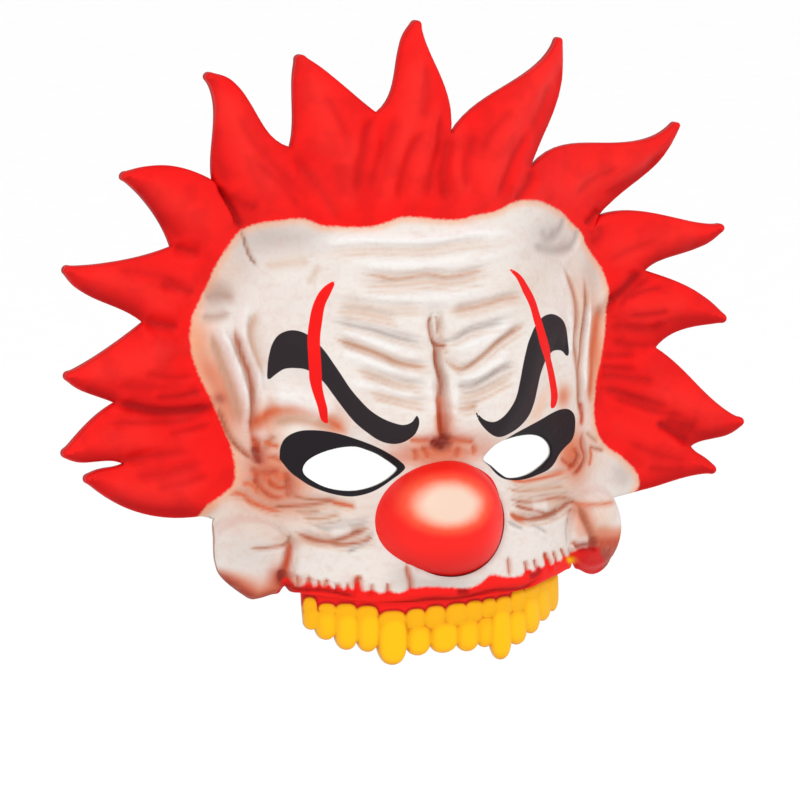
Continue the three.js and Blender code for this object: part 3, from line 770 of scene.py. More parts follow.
TEMPLES = creases(
    (0.6, 0.4, Tint.MUD, 1.0, 240, 228, 244, 242, 248, 254, 257, 268),
    (3.4, 0.5, Tint.MUD, 0.28, 202, 300, 214, 297, 236, 298),
    (2.6, 0.7, Tint.MUD, 0.3, 199, 317, 212, 318, 232, 314),
    (1.8, -1.6, Tint.LIGHT, 0.95, 217, 320, 227, 346, 238, 376, 244, 402, 247, 428, 253, 448),
    (1.8, -1.4, Tint.LIGHT, 0.9, 246, 300, 242, 326, 246, 348, 254, 366, 257, 386, 256, 402),
    (1.3, 1.2, Tint.BROWN, 0.8, 233, 322, 240, 352, 248, 373, 252, 394, 252, 414, 256, 436),
    (2.2, 0.7, Tint.TAN, 0.5, 258, 308, 250, 334, 256, 358, 263, 378),
    (2.0, 0.7, Tint.TAN, 0.8, 209, 327, 218, 353, 229, 384, 236, 410, 240, 430),
    (2.0, 1.3, Tint.RUST, 0.85, 250, 412, 253, 430, 256, 446, 260, 467),
    (2.0, 0.5, Tint.WINE, 0.6, 253, 445, 256, 455, 259, 466),
    (1.2, 0.8, Tint.BROWN, 0.8, 215, 402, 222, 422, 231, 440, 245, 455, 257, 464),
    (2.2, -0.9, Tint.LIGHT, 0.6, 262, 384, 264, 400, 258, 424, 260, 444),
    (3.0, 0.3, Tint.BEIGE, 0.5, 262, 268, 285, 264, 312, 262),
    (1.4, 0.9, Tint.BROWN, 0.5, 562, 262, 570, 280, 576, 300, 577, 320, 574, 340, 576, 360, 577,
     382),
    (1.3, 1.0, Tint.BROWN, 0.6, 584, 268, 587, 300, 585, 320, 581, 345, 579, 370, 579, 395, 583,
     425),
    (1.4, 0.6, Tint.RUST, 0.7, 580, 400, 583, 415, 582, 428),
    (1.5, -1.1, Tint.LIGHT, 0.8, 591, 295, 589, 320, 587, 345, 585, 372, 586, 400),
    (1.5, -0.7, Tint.LIGHT, 0.5, 570, 300, 571, 330, 568, 360),
    (2.4, 0.7, Tint.BLUSH, 0.7, 600, 300, 598, 325, 594, 350, 592, 380, 591, 410),
    (1.1, 0.5, Tint.TAN, 0.8, 586, 432, 592, 437, 600, 444),
    (1.1, 0.6, Tint.BROWN, 0.5, 588, 447, 596, 449, 607, 452),
    (2.2, 0.7, Tint.GREY, 0.8, 530, 244, 552, 250, 575, 246),
    (1.8, 0.7, Tint.GREY, 0.8, 566, 214, 560, 228, 548, 240),
    (1.8, 0.7, Tint.GREY, 0.8, 579, 226, 575, 240, 566, 250),
    (2.4, 0.6, Tint.GREY, 0.6, 540, 228, 548, 238, 556, 228),
)

UNDER_EYES = creases(
    (4.6, 0.4, Tint.BLUSH, 0.7, 246, 440, 260, 420, 280, 412, 302, 413, 322, 420, 352, 438),
    (3.0, 0.3, Tint.TAN, 0.7, 270, 426, 290, 420, 315, 422, 335, 430),
    (4.0, -1.2, Tint.LIGHT, 0.8, 268, 399, 290, 396, 312, 404, 335, 416),
    (1.6, 0.7, Tint.BROWN, 0.4, 264, 452, 268, 442, 276, 434),
    (1.6, 0.8, Tint.RUST, 0.5, 250, 466, 256, 475, 254, 486),
    (1.8, 0.8, Tint.RUST, 0.5, 281, 470, 288, 478, 290, 490, 284, 500),
    (1.1, 0.8, Tint.BLUSH, 0.85, 226, 497, 236, 494, 243, 496, 250, 502, 258, 506, 270, 510, 284,
     512),
    (1.2, 0.8, Tint.RUST, 0.5, 255, 476, 258, 486, 266, 494, 275, 498, 285, 496),
    (1.1, 0.7, Tint.RUST, 0.5, 267, 476, 270, 484, 277, 488, 286, 486, 289, 477),
    (1.2, 0.6, Tint.RUST, 0.5, 258, 471, 268, 473, 280, 470),
    (1.2, 0.7, Tint.BLUSH, 0.8, 263, 440, 270, 445, 280, 447),
    (1.2, 0.6, Tint.BLUSH, 0.7, 262, 460, 272, 458, 284, 462),
    (1.1, 0.6, Tint.BLUSH, 0.7, 240, 487, 247, 484, 254, 488, 258, 496),
    (1.0, 0.6, Tint.BROWN, 0.5, 285, 493, 300, 498, 318, 500, 338, 499),
    (1.0, 0.8, Tint.BROWN, 0.65, 262, 503, 280, 507, 295, 506, 312, 505, 330, 502, 343, 505, 358,
     508),
    (1.2, 0.4, Tint.BLUSH, 0.7, 330, 503, 345, 505, 357, 508),
    (0.9, 0.5, Tint.TAN, 0.7, 292, 511, 305, 513, 322, 510),
    (0.9, 0.5, Tint.TAN, 0.8, 298, 517, 315, 519, 330, 517, 343, 513),
    (1.1, 0.7, Tint.GREY, 0.8, 308, 523, 325, 529, 340, 527, 358, 525, 373, 520),
    (2.2, -0.8, Tint.LIGHT, 0.7, 328, 535, 342, 533, 354, 529),
    (1.4, 1.1, Tint.BROWN, 0.75, 290, 530, 305, 537, 318, 541, 330, 542, 345, 538, 358, 533, 373,
     527),
    (1.0, 0.8, Tint.BROWN, 0.7, 326, 544, 345, 545, 358, 543, 368, 540, 376, 534),
    (0.8, 0.4, Tint.GREY, 0.8, 346, 554, 356, 548, 370, 542),
    (1.1, 0.7, Tint.BLUSH, 0.8, 500, 473, 510, 479, 522, 482, 536, 480, 552, 476, 571, 470),
    (1.0, 0.5, Tint.TAN, 0.7, 502, 486, 515, 491, 535, 491, 552, 488, 570, 487),
    (1.1, 0.7, Tint.BROWN, 0.5, 504, 498, 520, 502, 535, 502, 546, 500, 560, 498, 574, 499),
    (1.0, 0.8, Tint.BROWN, 0.7, 509, 504, 525, 509, 540, 512, 549, 515, 556, 509, 556, 502),
    (2.2, -0.9, Tint.LIGHT, 0.5, 530, 505, 540, 506, 549, 506),
    (1.3, 1.1, Tint.BROWN, 0.75, 506, 509, 515, 517, 526, 520, 540, 519, 550, 516, 560, 510, 569,
     504, 580, 503),
    (1.5, 0.4, Tint.BLUSH, 0.7, 508, 512, 516, 519, 527, 521),
    (0.9, 0.4, Tint.GREY, 0.8, 505, 521, 515, 526, 524, 530),
    (0.8, 0.3, Tint.GREY, 0.6, 528, 524, 538, 528, 548, 534),
    (1.4, 0.9, Tint.RUST, 0.6, 584, 430, 582, 444, 585, 458, 580, 470, 571, 477),
    (1.2, 0.8, Tint.RUST, 0.5, 572, 447, 578, 455, 574, 465, 566, 471),
    (1.2, 0.7, Tint.BLUSH, 0.8, 590, 448, 592, 456, 590, 468),
    (1.1, 0.6, Tint.RUST, 0.5, 560, 457, 566, 463, 575, 467),
)

CHEEKS = creases(
    (1.0, 0.8, Tint.BROWN, 0.45, 246, 548, 260, 549, 275, 547, 287, 543, 293, 534),
    (2.2, 1.6, Tint.RUST, 0.75, 291, 538, 290, 550, 288, 562, 285, 573, 284, 585),
    (3.0, 0.5, Tint.WINE, 0.8, 283, 568, 281, 577, 283, 585),
    (1.3, 0.8, Tint.BLUSH, 0.45, 566, 500, 576, 504, 590, 506, 618, 502),
    (4.0, -0.4, Tint.BLUSH, 0.55, 574, 500, 581, 512, 586, 524, 592, 536),
    (2.0, 1.5, Tint.BROWN, 0.75, 576, 502, 583, 515, 588, 526, 593, 539, 595, 549),
    (2.4, 0.5, Tint.WINE, 0.4, 592, 538, 594, 545, 592, 551),
    # Painted shadow just above the printed red at the mouth's corner.
    (1.8, 0.6, Tint.WINE, 0.5, 574, 550, 582, 546.5, 590, 545.5, 598, 548),
)

LIP_PLEATS = creases(*((width, 0.9, Tint.RUST, *rest) for width, *rest in (
    (1.1, 0.5, 297, 574, 298, 583, 297, 592),
    (1.2, 0.7, 309, 575, 308, 584, 308, 593),
    (1.0, 0.6, 318, 579, 318, 586, 319, 593),
    (1.0, 0.6, 328, 578, 325, 585, 326, 592),
    (0.9, 0.6, 338, 582, 337, 588, 338, 594),
    (0.9, 0.5, 348, 582, 347, 588, 347, 595),
    (1.6, 0.9, 361, 574, 357, 583, 358, 592, 357, 598),
    (0.9, 0.4, 371, 583, 372, 590, 372, 597),
    (1.0, 0.5, 389, 582, 388, 589, 388, 597),
    (1.2, 0.5, 405, 562, 408, 574, 411, 584, 410, 593),
    (1.1, 0.4, 508, 556, 509, 567, 510, 577),
    (1.0, 0.5, 524, 560, 526, 567, 527, 575),
    (1.0, 0.5, 534, 558, 535, 564, 537, 571),
    (1.5, 0.9, 544, 551, 546, 559, 549, 567, 548, 573),
    (1.0, 0.6, 552, 551, 555, 558, 557, 565),
    (1.0, 0.6, 560, 548, 563, 554, 566, 561),
    (1.0, 0.5, 572, 541, 576, 546, 580, 550),
)))

LIP_LINES = creases(
    (1.0, 0.7, Tint.LIP_DEEP, 0.75, 286, 583, 294, 588, 303, 590, 318, 590, 332, 592, 346, 595,
     360, 598),
    (1.0, 0.8, Tint.LIP_DEEP, 0.8, 372, 599, 385, 602, 400, 603, 412, 602, 425, 600, 440, 599,
     456, 599, 468, 597, 480, 594, 495, 591, 510, 590, 524, 588, 536, 581, 548, 575),
    (2.4, 0.4, Tint.LIP_DEEP, 0.7, 456, 592, 464, 592, 470, 591),
    (1.6, 0.4, Tint.LIP_DEEP, 0.7, 528, 578, 535, 576, 543, 569),
    # Painted shadow along the top of the red at the mouth's corner.
    (1.8, 0.5, Tint.LIP_DEEP, 0.6, 576, 553, 584, 550, 592, 550, 598, 552),
)

SKIN_BLOTS = blots(
    (420, 262, 120, 16, 3, Tint.LIGHT, 0.1),
    (285, 238, 46, 17, 3, Tint.GREY, 0.65),
    (262, 236, 20, 12, 20, Tint.GREY, 0.5),
    (240, 262, 14, 20, 20, Tint.GREY, 0.4),
    (216, 288, 13, 16, 60, Tint.MUD, 0.5),
    (212, 303, 16, 8, 0, Tint.GREY, 0.4),
    (228, 270, 18, 12, 50, Tint.BEIGE, 0.6),
    (196, 342, 12, 30, 0, Tint.PEACH, 0.75),
    (208, 372, 12, 18, 20, Tint.BLUSH, 0.55),
    (227, 400, 16, 40, 15, Tint.BLUSH, 0.8),
    (217, 399, 6, 6, 0, Tint.WINE, 0.7),
    (243, 455, 9, 16, 20, Tint.BEIGE, 0.6),
    (268, 440, 14, 24, 0, Tint.BEIGE, 0.5),
    (262, 424, 14, 14, 0, Tint.BLUSH, 0.5),
    (390, 436, 24, 8, -25, Tint.BEIGE, 0.5),
    (274, 482, 30, 30, 0, Tint.BLUSH, 1.0),
    (262, 470, 12, 12, 0, Tint.RUST, 0.35),
    (268, 500, 30, 10, -15, Tint.BLUSH, 0.7),
    (330, 512, 54, 20, 0, Tint.BEIGE, 0.55),
    (300, 540, 28, 6, -8, Tint.TAN, 0.6),
    (442, 444, 18, 10, 0, Tint.WINE, 0.75),
    (440, 448, 34, 14, 0, Tint.BLUSH, 0.75),
    (441, 455, 60, 12, 0, Tint.BLUSH, 0.6),
    (441, 418, 9, 26, 0, Tint.BLUSH, 0.7),
    (440, 350, 8, 14, 0, Tint.BEIGE, 0.6),
    (478, 438, 20, 10, 10, Tint.BEIGE, 0.6),
    (540, 406, 26, 10, 50, Tint.PEACH, 0.4),
    (564, 396, 10, 12, 0, Tint.BLUSH, 0.75),
    (573, 456, 24, 30, 0, Tint.BLUSH, 1.0),
    (545, 492, 46, 16, 3, Tint.BEIGE, 0.7),
    (560, 502, 22, 8, 0, Tint.TAN, 0.6),
    (598, 350, 9, 60, 0, Tint.BLUSH, 0.75),
    (578, 330, 9, 70, 0, Tint.BEIGE, 0.8),
    (592, 285, 14, 26, 0, Tint.BEIGE, 0.8),
    (601, 312, 6, 8, 0, Tint.MUD, 0.8),
    (552, 238, 34, 24, 0, Tint.GREY, 0.75),
    (592, 268, 16, 22, 0, Tint.GREY, 0.5),
    (530, 285, 30, 24, 0, Tint.BEIGE, 0.45),
    (597, 462, 24, 14, -20, Tint.BEIGE, 0.4),
    (625, 476, 14, 18, 40, Tint.GREY, 0.7),
    (202, 512, 14, 8, 20, Tint.MUD, 0.6),
    (208, 506, 10, 6, 20, Tint.BLUSH, 0.5),
    (278, 578, 10, 14, 0, Tint.RUST, 0.8),
    (602, 530, 16, 8, 0, Tint.TAN, 0.6),
    (248, 552, 30, 26, 0, Tint.GREY, 0.4),
    (234, 518, 26, 24, 0, Tint.BEIGE, 0.4),
    (604, 515, 18, 13, 0, Tint.PEACH, 0.25),
    (204, 342, 12, 30, 0, Tint.BLUSH, 0.22),
    (582, 300, 10, 30, 0, Tint.PEACH, 0.2),
    # Painted shadow on the face under the nose ball.
    (440, 583, 42, 10, 0, Tint.GREY, 0.75),
    (405, 576, 16, 12, -40, Tint.GREY, 0.5),
)

# The tooth in the mouth's corner is stained twice, so that it covers the red.
CORNER_TOOTH = (571, 561, 7, 3.5, -25, Tint.TOOTH, 1.0)
LIP_BLOTS = blots((285, 590, 10, 8, 0, Tint.WINE, 0.8), CORNER_TOOTH, CORNER_TOOTH)

FINE_LINES = tuple(
    Crease(tuple((x + 2.5, y + drop) for x, y in crease.rows), 0.8 * crease.width, 0.45, tint,
           0.4 * crease.amount)
    for crease in (*FOREHEAD, *UNDER_EYES) if crease.dip > 0.4 and len(crease.rows) > 3
    for drop, tint in ((5.5, Tint.TAN), (-5.0, Tint.GREY)))

SKIN_CREASES = (*FINE_LINES, *FOREHEAD, *BRIDGE, *TEMPLES, *UNDER_EYES, *CHEEKS, *LIP_PLEATS)

# Grooves and raised locks of the hair; their tints are painted shade in the grooves and painted
# highlights on the locks.
HAIR_CREASES = tuple(hair_crease(*row) for row in (
    (2.0, 1.6, 0.95, 110, 402, 130, 406, 152, 411, 180, 411, 205, 408, 220, 401),
    (1.6, 0.8, 0.7, 150, 398, 180, 396, 205, 390),
    (1.6, 0.7, 0.35, 140, 372, 170, 378, 196, 376),
    (1.5, 0.7, 0.45, 100, 424, 140, 423, 175, 422, 205, 416),
    (1.5, 0.6, 0.4, 165, 436, 190, 430, 212, 424),
    (1.8, 0.9, 0.5, 120, 464, 135, 459, 160, 455, 190, 452),
    (1.8, 0.7, 0.4, 150, 490, 180, 484, 210, 474),
    (3.4, -0.9, 0.45, 100, 488, 135, 492, 170, 490, 200, 482),
    (3.4, -0.9, 0.35, 90, 442, 130, 440, 170, 442, 205, 444),
    (3.6, -1.0, 0.5, 78, 376, 110, 372, 145, 362, 180, 352),
    (2.4, 1.2, 0.7, 142, 322, 160, 325, 180, 328),
    (1.8, 0.8, 0.5, 155, 284, 175, 288, 196, 294),
    (3.4, -1.0, 0.45, 80, 276, 110, 280, 140, 290, 165, 305, 182, 312),
    (2.2, 1.1, 0.6, 172, 246, 186, 250, 200, 252),
    (3.4, -1.0, 0.45, 140, 180, 165, 195, 190, 215, 205, 232),
    (1.8, 0.6, 0.35, 150, 210, 166, 226, 182, 240),
    # Painted shadow of the wing's edge along the dart, on the crown's side.
    (1.3, 0.8, 0.9, 214, 182, 221, 193, 229, 206, 236, 220, 241, 232),
    (2.6, 0.7, 0.5, 226, 192, 240, 203, 258, 209),
    (2.0, 0.8, 0.4, 218, 120, 216, 145, 220, 170, 230, 190),
    (3.4, -1.0, 0.6, 212, 86, 226, 104, 238, 126, 246, 150, 260, 175, 282, 200),
    (2.2, 1.1, 0.45, 293, 150, 300, 165, 316, 185, 330, 205, 342, 226),
    (2.0, 0.7, 0.3, 250, 160, 272, 178, 292, 200, 300, 215),
    (3.4, -1.0, 0.55, 305, 72, 316, 98, 324, 120, 326, 145, 322, 165),
    (2.4, -0.7, 0.4, 300, 165, 314, 180, 328, 202, 338, 222),
    (2.0, 1.2, 0.55, 378, 114, 366, 130, 361, 155, 357, 180, 356, 200),
    (3.0, 0.6, 0.4, 336, 160, 338, 180, 346, 200),
    (3.2, -1.1, 0.6, 413, 45, 414, 80, 410, 112, 400, 140, 390, 170, 384, 200, 380, 222),
    (1.8, 0.8, 0.45, 424, 128, 410, 150, 402, 175, 398, 205),
    (2.6, -0.8, 0.45, 434, 96, 430, 130, 420, 160, 414, 190, 412, 215),
    (1.6, 0.7, 0.4, 441, 108, 438, 140, 430, 170, 425, 205),
    (2.0, 1.2, 0.5, 450, 132, 446, 150, 442, 175, 446, 205),
    (3.6, -1.1, 0.5, 554, 50, 538, 80, 516, 108, 500, 138, 489, 170, 480, 205),
    (1.8, 0.9, 0.45, 528, 128, 514, 152, 504, 178, 494, 202),
    (2.4, 0.6, 0.35, 475, 130, 466, 160, 464, 190),
    (2.2, 1.2, 0.6, 533, 166, 528, 180, 520, 194, 512, 202),
    (3.6, -1.1, 0.5, 660, 142, 630, 160, 600, 172, 572, 184, 560, 196),
    (1.6, 1.0, 0.8, 600, 206, 592, 216, 584, 224),
    (3.4, -1.0, 0.45, 706, 226, 680, 232, 650, 240, 622, 254, 606, 270),
    (2.4, 0.8, 0.5, 598, 222, 600, 234, 590, 244),
    (1.7, 1.3, 0.85, 648, 268, 634, 278, 622, 290, 610, 303, 602, 318),
    (1.3, 0.8, 0.5, 655, 274, 640, 284, 628, 294, 618, 308),
    (1.2, 0.6, 0.5, 668, 286, 645, 290, 625, 298),
    (3.0, -0.8, 0.4, 690, 296, 670, 304, 645, 312, 622, 316),
    (1.4, 0.8, 0.6, 672, 310, 648, 313, 625, 315),
    (2.4, 1.0, 0.6, 670, 326, 645, 328, 620, 326, 608, 330),
    (2.0, 0.9, 0.5, 656, 345, 635, 345, 612, 340),
    (1.3, 0.6, 0.5, 640, 352, 620, 355, 602, 355),
    (1.4, 0.7, 0.4, 640, 370, 618, 368, 600, 366),
    (2.0, 0.9, 0.55, 660, 382, 632, 378, 608, 376, 598, 380),
    (2.0, 1.1, 0.7, 672, 408, 645, 400, 620, 392, 600, 388),
    (1.6, 0.8, 0.5, 690, 418, 660, 412, 630, 402, 610, 397),
    (3.4, -1.0, 0.4, 730, 420, 700, 412, 670, 398, 640, 388),
    (1.6, 1.2, 0.85, 694, 444, 680, 436, 668, 428, 655, 422),
    (2.4, 0.8, 0.7, 700, 430, 680, 424, 664, 420),
    (3.0, -0.8, 0.35, 690, 446, 660, 440, 630, 432, 604, 420),
    (1.8, 0.6, 0.35, 700, 462, 670, 458, 650, 452, 625, 440),
    (2.6, 0.6, 0.5, 690, 470, 665, 471, 645, 468),
    (2.6, 0.4, 0.6, 128, 184, 148, 206, 166, 236),
    (2.2, 0.6, 0.3, 232, 110, 250, 140, 275, 168, 300, 196),
    (2.2, 0.6, 0.3, 318, 90, 335, 115, 345, 140, 343, 165),
    (2.8, -0.8, 0.45, 356, 130, 345, 160, 348, 195, 356, 215),
    (2.0, 0.7, 0.35, 396, 110, 388, 140, 376, 165, 368, 195),
    (2.2, 0.6, 0.3, 424, 60, 427, 95, 422, 125),
    (2.6, -0.8, 0.4, 458, 110, 455, 140, 455, 175, 462, 205),
    (2.2, 0.6, 0.35, 548, 78, 540, 108, 528, 130),
    (2.2, 0.6, 0.3, 512, 106, 492, 130, 478, 155),
    (2.6, 0.6, 0.5, 668, 146, 648, 168, 622, 184, 600, 196),
    (2.0, 0.6, 0.3, 620, 165, 590, 178, 572, 196),
    (2.8, 0.6, 0.55, 712, 240, 690, 254, 662, 262, 648, 270),
    (1.8, 0.6, 0.3, 660, 238, 630, 248, 606, 262),
    (2.6, 0.5, 0.5, 720, 322, 695, 318, 668, 322, 650, 330),
    (2.8, 0.5, 0.55, 738, 430, 715, 436, 695, 434, 672, 428),
    (2.8, 0.5, 0.6, 74, 286, 100, 300, 130, 312, 150, 320),
    (2.0, 0.5, 0.3, 110, 268, 150, 275, 190, 288),
    (2.6, 0.5, 0.6, 82, 388, 100, 396, 118, 402),
    (2.0, 0.6, 0.3, 110, 386, 150, 388, 190, 384),
    (2.4, -0.7, 0.4, 150, 352, 175, 348, 195, 350),
    (3.0, 0.5, 0.7, 100, 496, 130, 507, 170, 513, 200, 510),
    (2.0, 0.6, 0.3, 130, 478, 165, 474, 205, 462),
))

HAIRLINE = pairs(
    198, 517, 205, 508, 214, 501, 225, 493, 232, 486, 235, 475, 234, 462, 231, 448, 226, 434, 220,
    420, 214, 407, 208, 393, 201, 380, 195, 365, 191, 350, 190, 335, 192, 318, 197, 305, 203, 293,
    209, 280, 216, 265, 224, 252, 232, 240, 240, 231, 250, 226, 262, 223, 280, 221, 300, 219, 309,
    221, 320, 226, 335, 227, 355, 228, 375, 227, 390, 222, 402, 218, 420, 218, 440, 220, 460, 220,
    475, 216, 490, 213, 500, 210, 510, 204, 525, 200, 540, 201, 550, 205, 562, 212, 572, 222, 582,
    232, 586, 243, 596, 258, 605, 272, 609, 287, 610, 300, 607, 312, 606, 330, 604, 345, 601, 362,
    597, 378, 596, 392, 595, 410, 597, 428, 602, 440, 612, 450, 622, 456, 632, 466, 640, 476, 641,
    485, 637, 494)

BROWS = (
    pairs(268, 380, 267, 366, 268, 352, 271, 343, 277, 335, 285, 331, 293, 330, 302, 332, 312,
          338, 322, 348, 331, 360, 340, 373, 350, 388, 360, 400, 370, 410, 382, 418, 394, 423,
          404, 425, 412, 422, 417, 415, 419, 424, 414, 435, 404, 442, 393, 444, 380, 441, 366,
          432, 354, 422, 343, 409, 333, 395, 324, 383, 314, 374, 304, 369, 294, 368, 284, 369,
          276, 374),
    pairs(568, 356, 568, 343, 566, 327, 562, 319, 556, 314.5, 550, 313.5, 542, 317, 535, 326, 529,
          340, 526, 352, 523, 366, 520, 382, 516, 398, 510, 409, 502, 418, 494, 422, 485, 420,
          478, 414, 473, 408, 479, 421, 486, 430, 494, 436, 500, 437, 510, 433, 520, 426, 529,
          415, 534, 402, 537, 388, 540, 374, 545, 360, 550, 353, 556, 350, 562, 350.5),
)

SURROUNDS = (
    pairs(279, 458, 279, 449, 282, 441, 288, 435, 298, 431, 310, 430, 325, 431, 340, 434, 356,
          439, 372, 445, 388, 453, 400, 461, 405, 467, 400, 473, 392, 479, 384, 485, 374, 491,
          362, 495, 350, 496.5, 337, 495, 322, 491, 308, 485, 297, 478, 288, 470, 282, 463),
    pairs(483, 459, 490, 451, 500, 443, 512, 435, 525, 428, 540, 420, 552, 413, 562, 409, 570,
          409.5, 575, 415, 576, 424, 575, 434, 572, 441, 566, 447, 560, 454, 555, 463, 548, 470,
          538, 475, 527, 479, 516, 480.5, 504, 479, 496, 474, 489, 466),
)

STRIPES = (
    pairs(335, 281, 327, 284, 318, 292, 312, 306, 308, 325, 307, 345, 308, 365, 310, 385, 315,
          405, 322, 421, 328, 424, 326, 412, 323, 395, 321, 375, 320, 352, 320, 335, 322, 318,
          325, 304, 330, 292),
    pairs(508, 268, 515, 277, 522, 290, 530, 308, 535, 325, 540, 345, 545, 362, 549, 380, 551,
          395, 551, 408, 555, 407, 558, 398, 557, 386, 554, 370, 550, 352, 546, 335, 540, 315,
          534, 297, 526, 283, 517, 272),
)

LIP_EDGE = pairs(
    281, 583, 287, 578, 292, 584, 297, 588, 303, 584.5, 308, 582, 313, 587, 318, 584, 323, 588,
    327, 585, 333, 589, 338, 586, 343, 590, 347, 587, 353, 589.5, 358, 581, 362, 591, 372, 590,
    380, 593.5, 388, 591, 396, 593, 404, 592, 410, 588, 416, 588, 425, 587, 440, 587, 455, 588,
    470, 588, 481, 583, 491, 575, 502, 577, 512, 577.5, 522, 576, 527, 570, 534, 571.5, 538, 567,
    543, 568, 547, 559, 551, 566, 555, 561, 560, 562, 564, 557, 569, 557, 573, 553, 580, 550, 588,
    548.5, 595, 548, 599, 550, 602, 557, 604, 566, 604, 576, 602, 592, 560, 660, 300, 660, 276,
    620)


@dataclass(frozen=True)
class Knob:
    """One rounded part of a tooth: its centre and half sizes in pixels, and its lift."""

    centre: Pair
    half: Pair
    lift: float


def knobs(*rows: tuple[float, ...]) -> tuple[Knob, ...]:
    """Knobs from rows of centre, half sizes and lift."""
    return tuple(Knob(row[:2], row[2:4], row[4]) for row in rows)


CROWNS = knobs(
    (313, 619, 7.5, 12, 2.2), (328, 625, 10.5, 16, 2.8), (348.5, 631, 11.5, 20, 3.2),
    (370, 632, 11.5, 21, 3.2), (394.5, 641, 14.5, 25, 3.8), (420.5, 641, 12, 15.5, 3.2),
    (446, 638, 14, 16, 3.4), (470, 636, 11.5, 16.5, 3.0), (487.5, 633, 8.5, 15.5, 2.6),
    (503, 634, 10.8, 27, 3.6), (519.5, 628, 9.8, 18, 3.2), (534, 615, 8.8, 20, 3.0),
    (546, 604, 7.8, 18.5, 2.6), (555.5, 594, 6, 19, 2.2),
)

NECKS = knobs(
    (312, 609, 6.5, 11, 1.4), (329, 613, 8.5, 9, 1.6), (348, 616, 11, 12, 2.0),
    (369, 618, 11, 12, 2.0), (394, 624, 14, 13, 2.3), (417.5, 620, 9.5, 11, 1.9),
    (437, 618, 10, 12, 2.0), (458.5, 615.5, 11, 12, 2.0), (476, 612, 9, 11, 1.8),
    (491, 609, 7.5, 10, 1.7), (505.5, 608, 8.5, 11, 1.9), (521, 602, 8, 12, 1.8),
    (535, 594, 7.5, 11, 1.7), (547, 584, 6.5, 10, 1.5), (556, 578, 5, 10, 1.3),
)

GUM_NOTCHES = pairs(
    302, 606, 318, 612, 337, 617, 358.5, 617, 381, 624, 407.5, 624, 427, 619, 447.5, 619, 467.5,
    613, 484, 613, 498, 609, 513, 608, 528, 600, 541, 590, 552, 580, 562, 572)


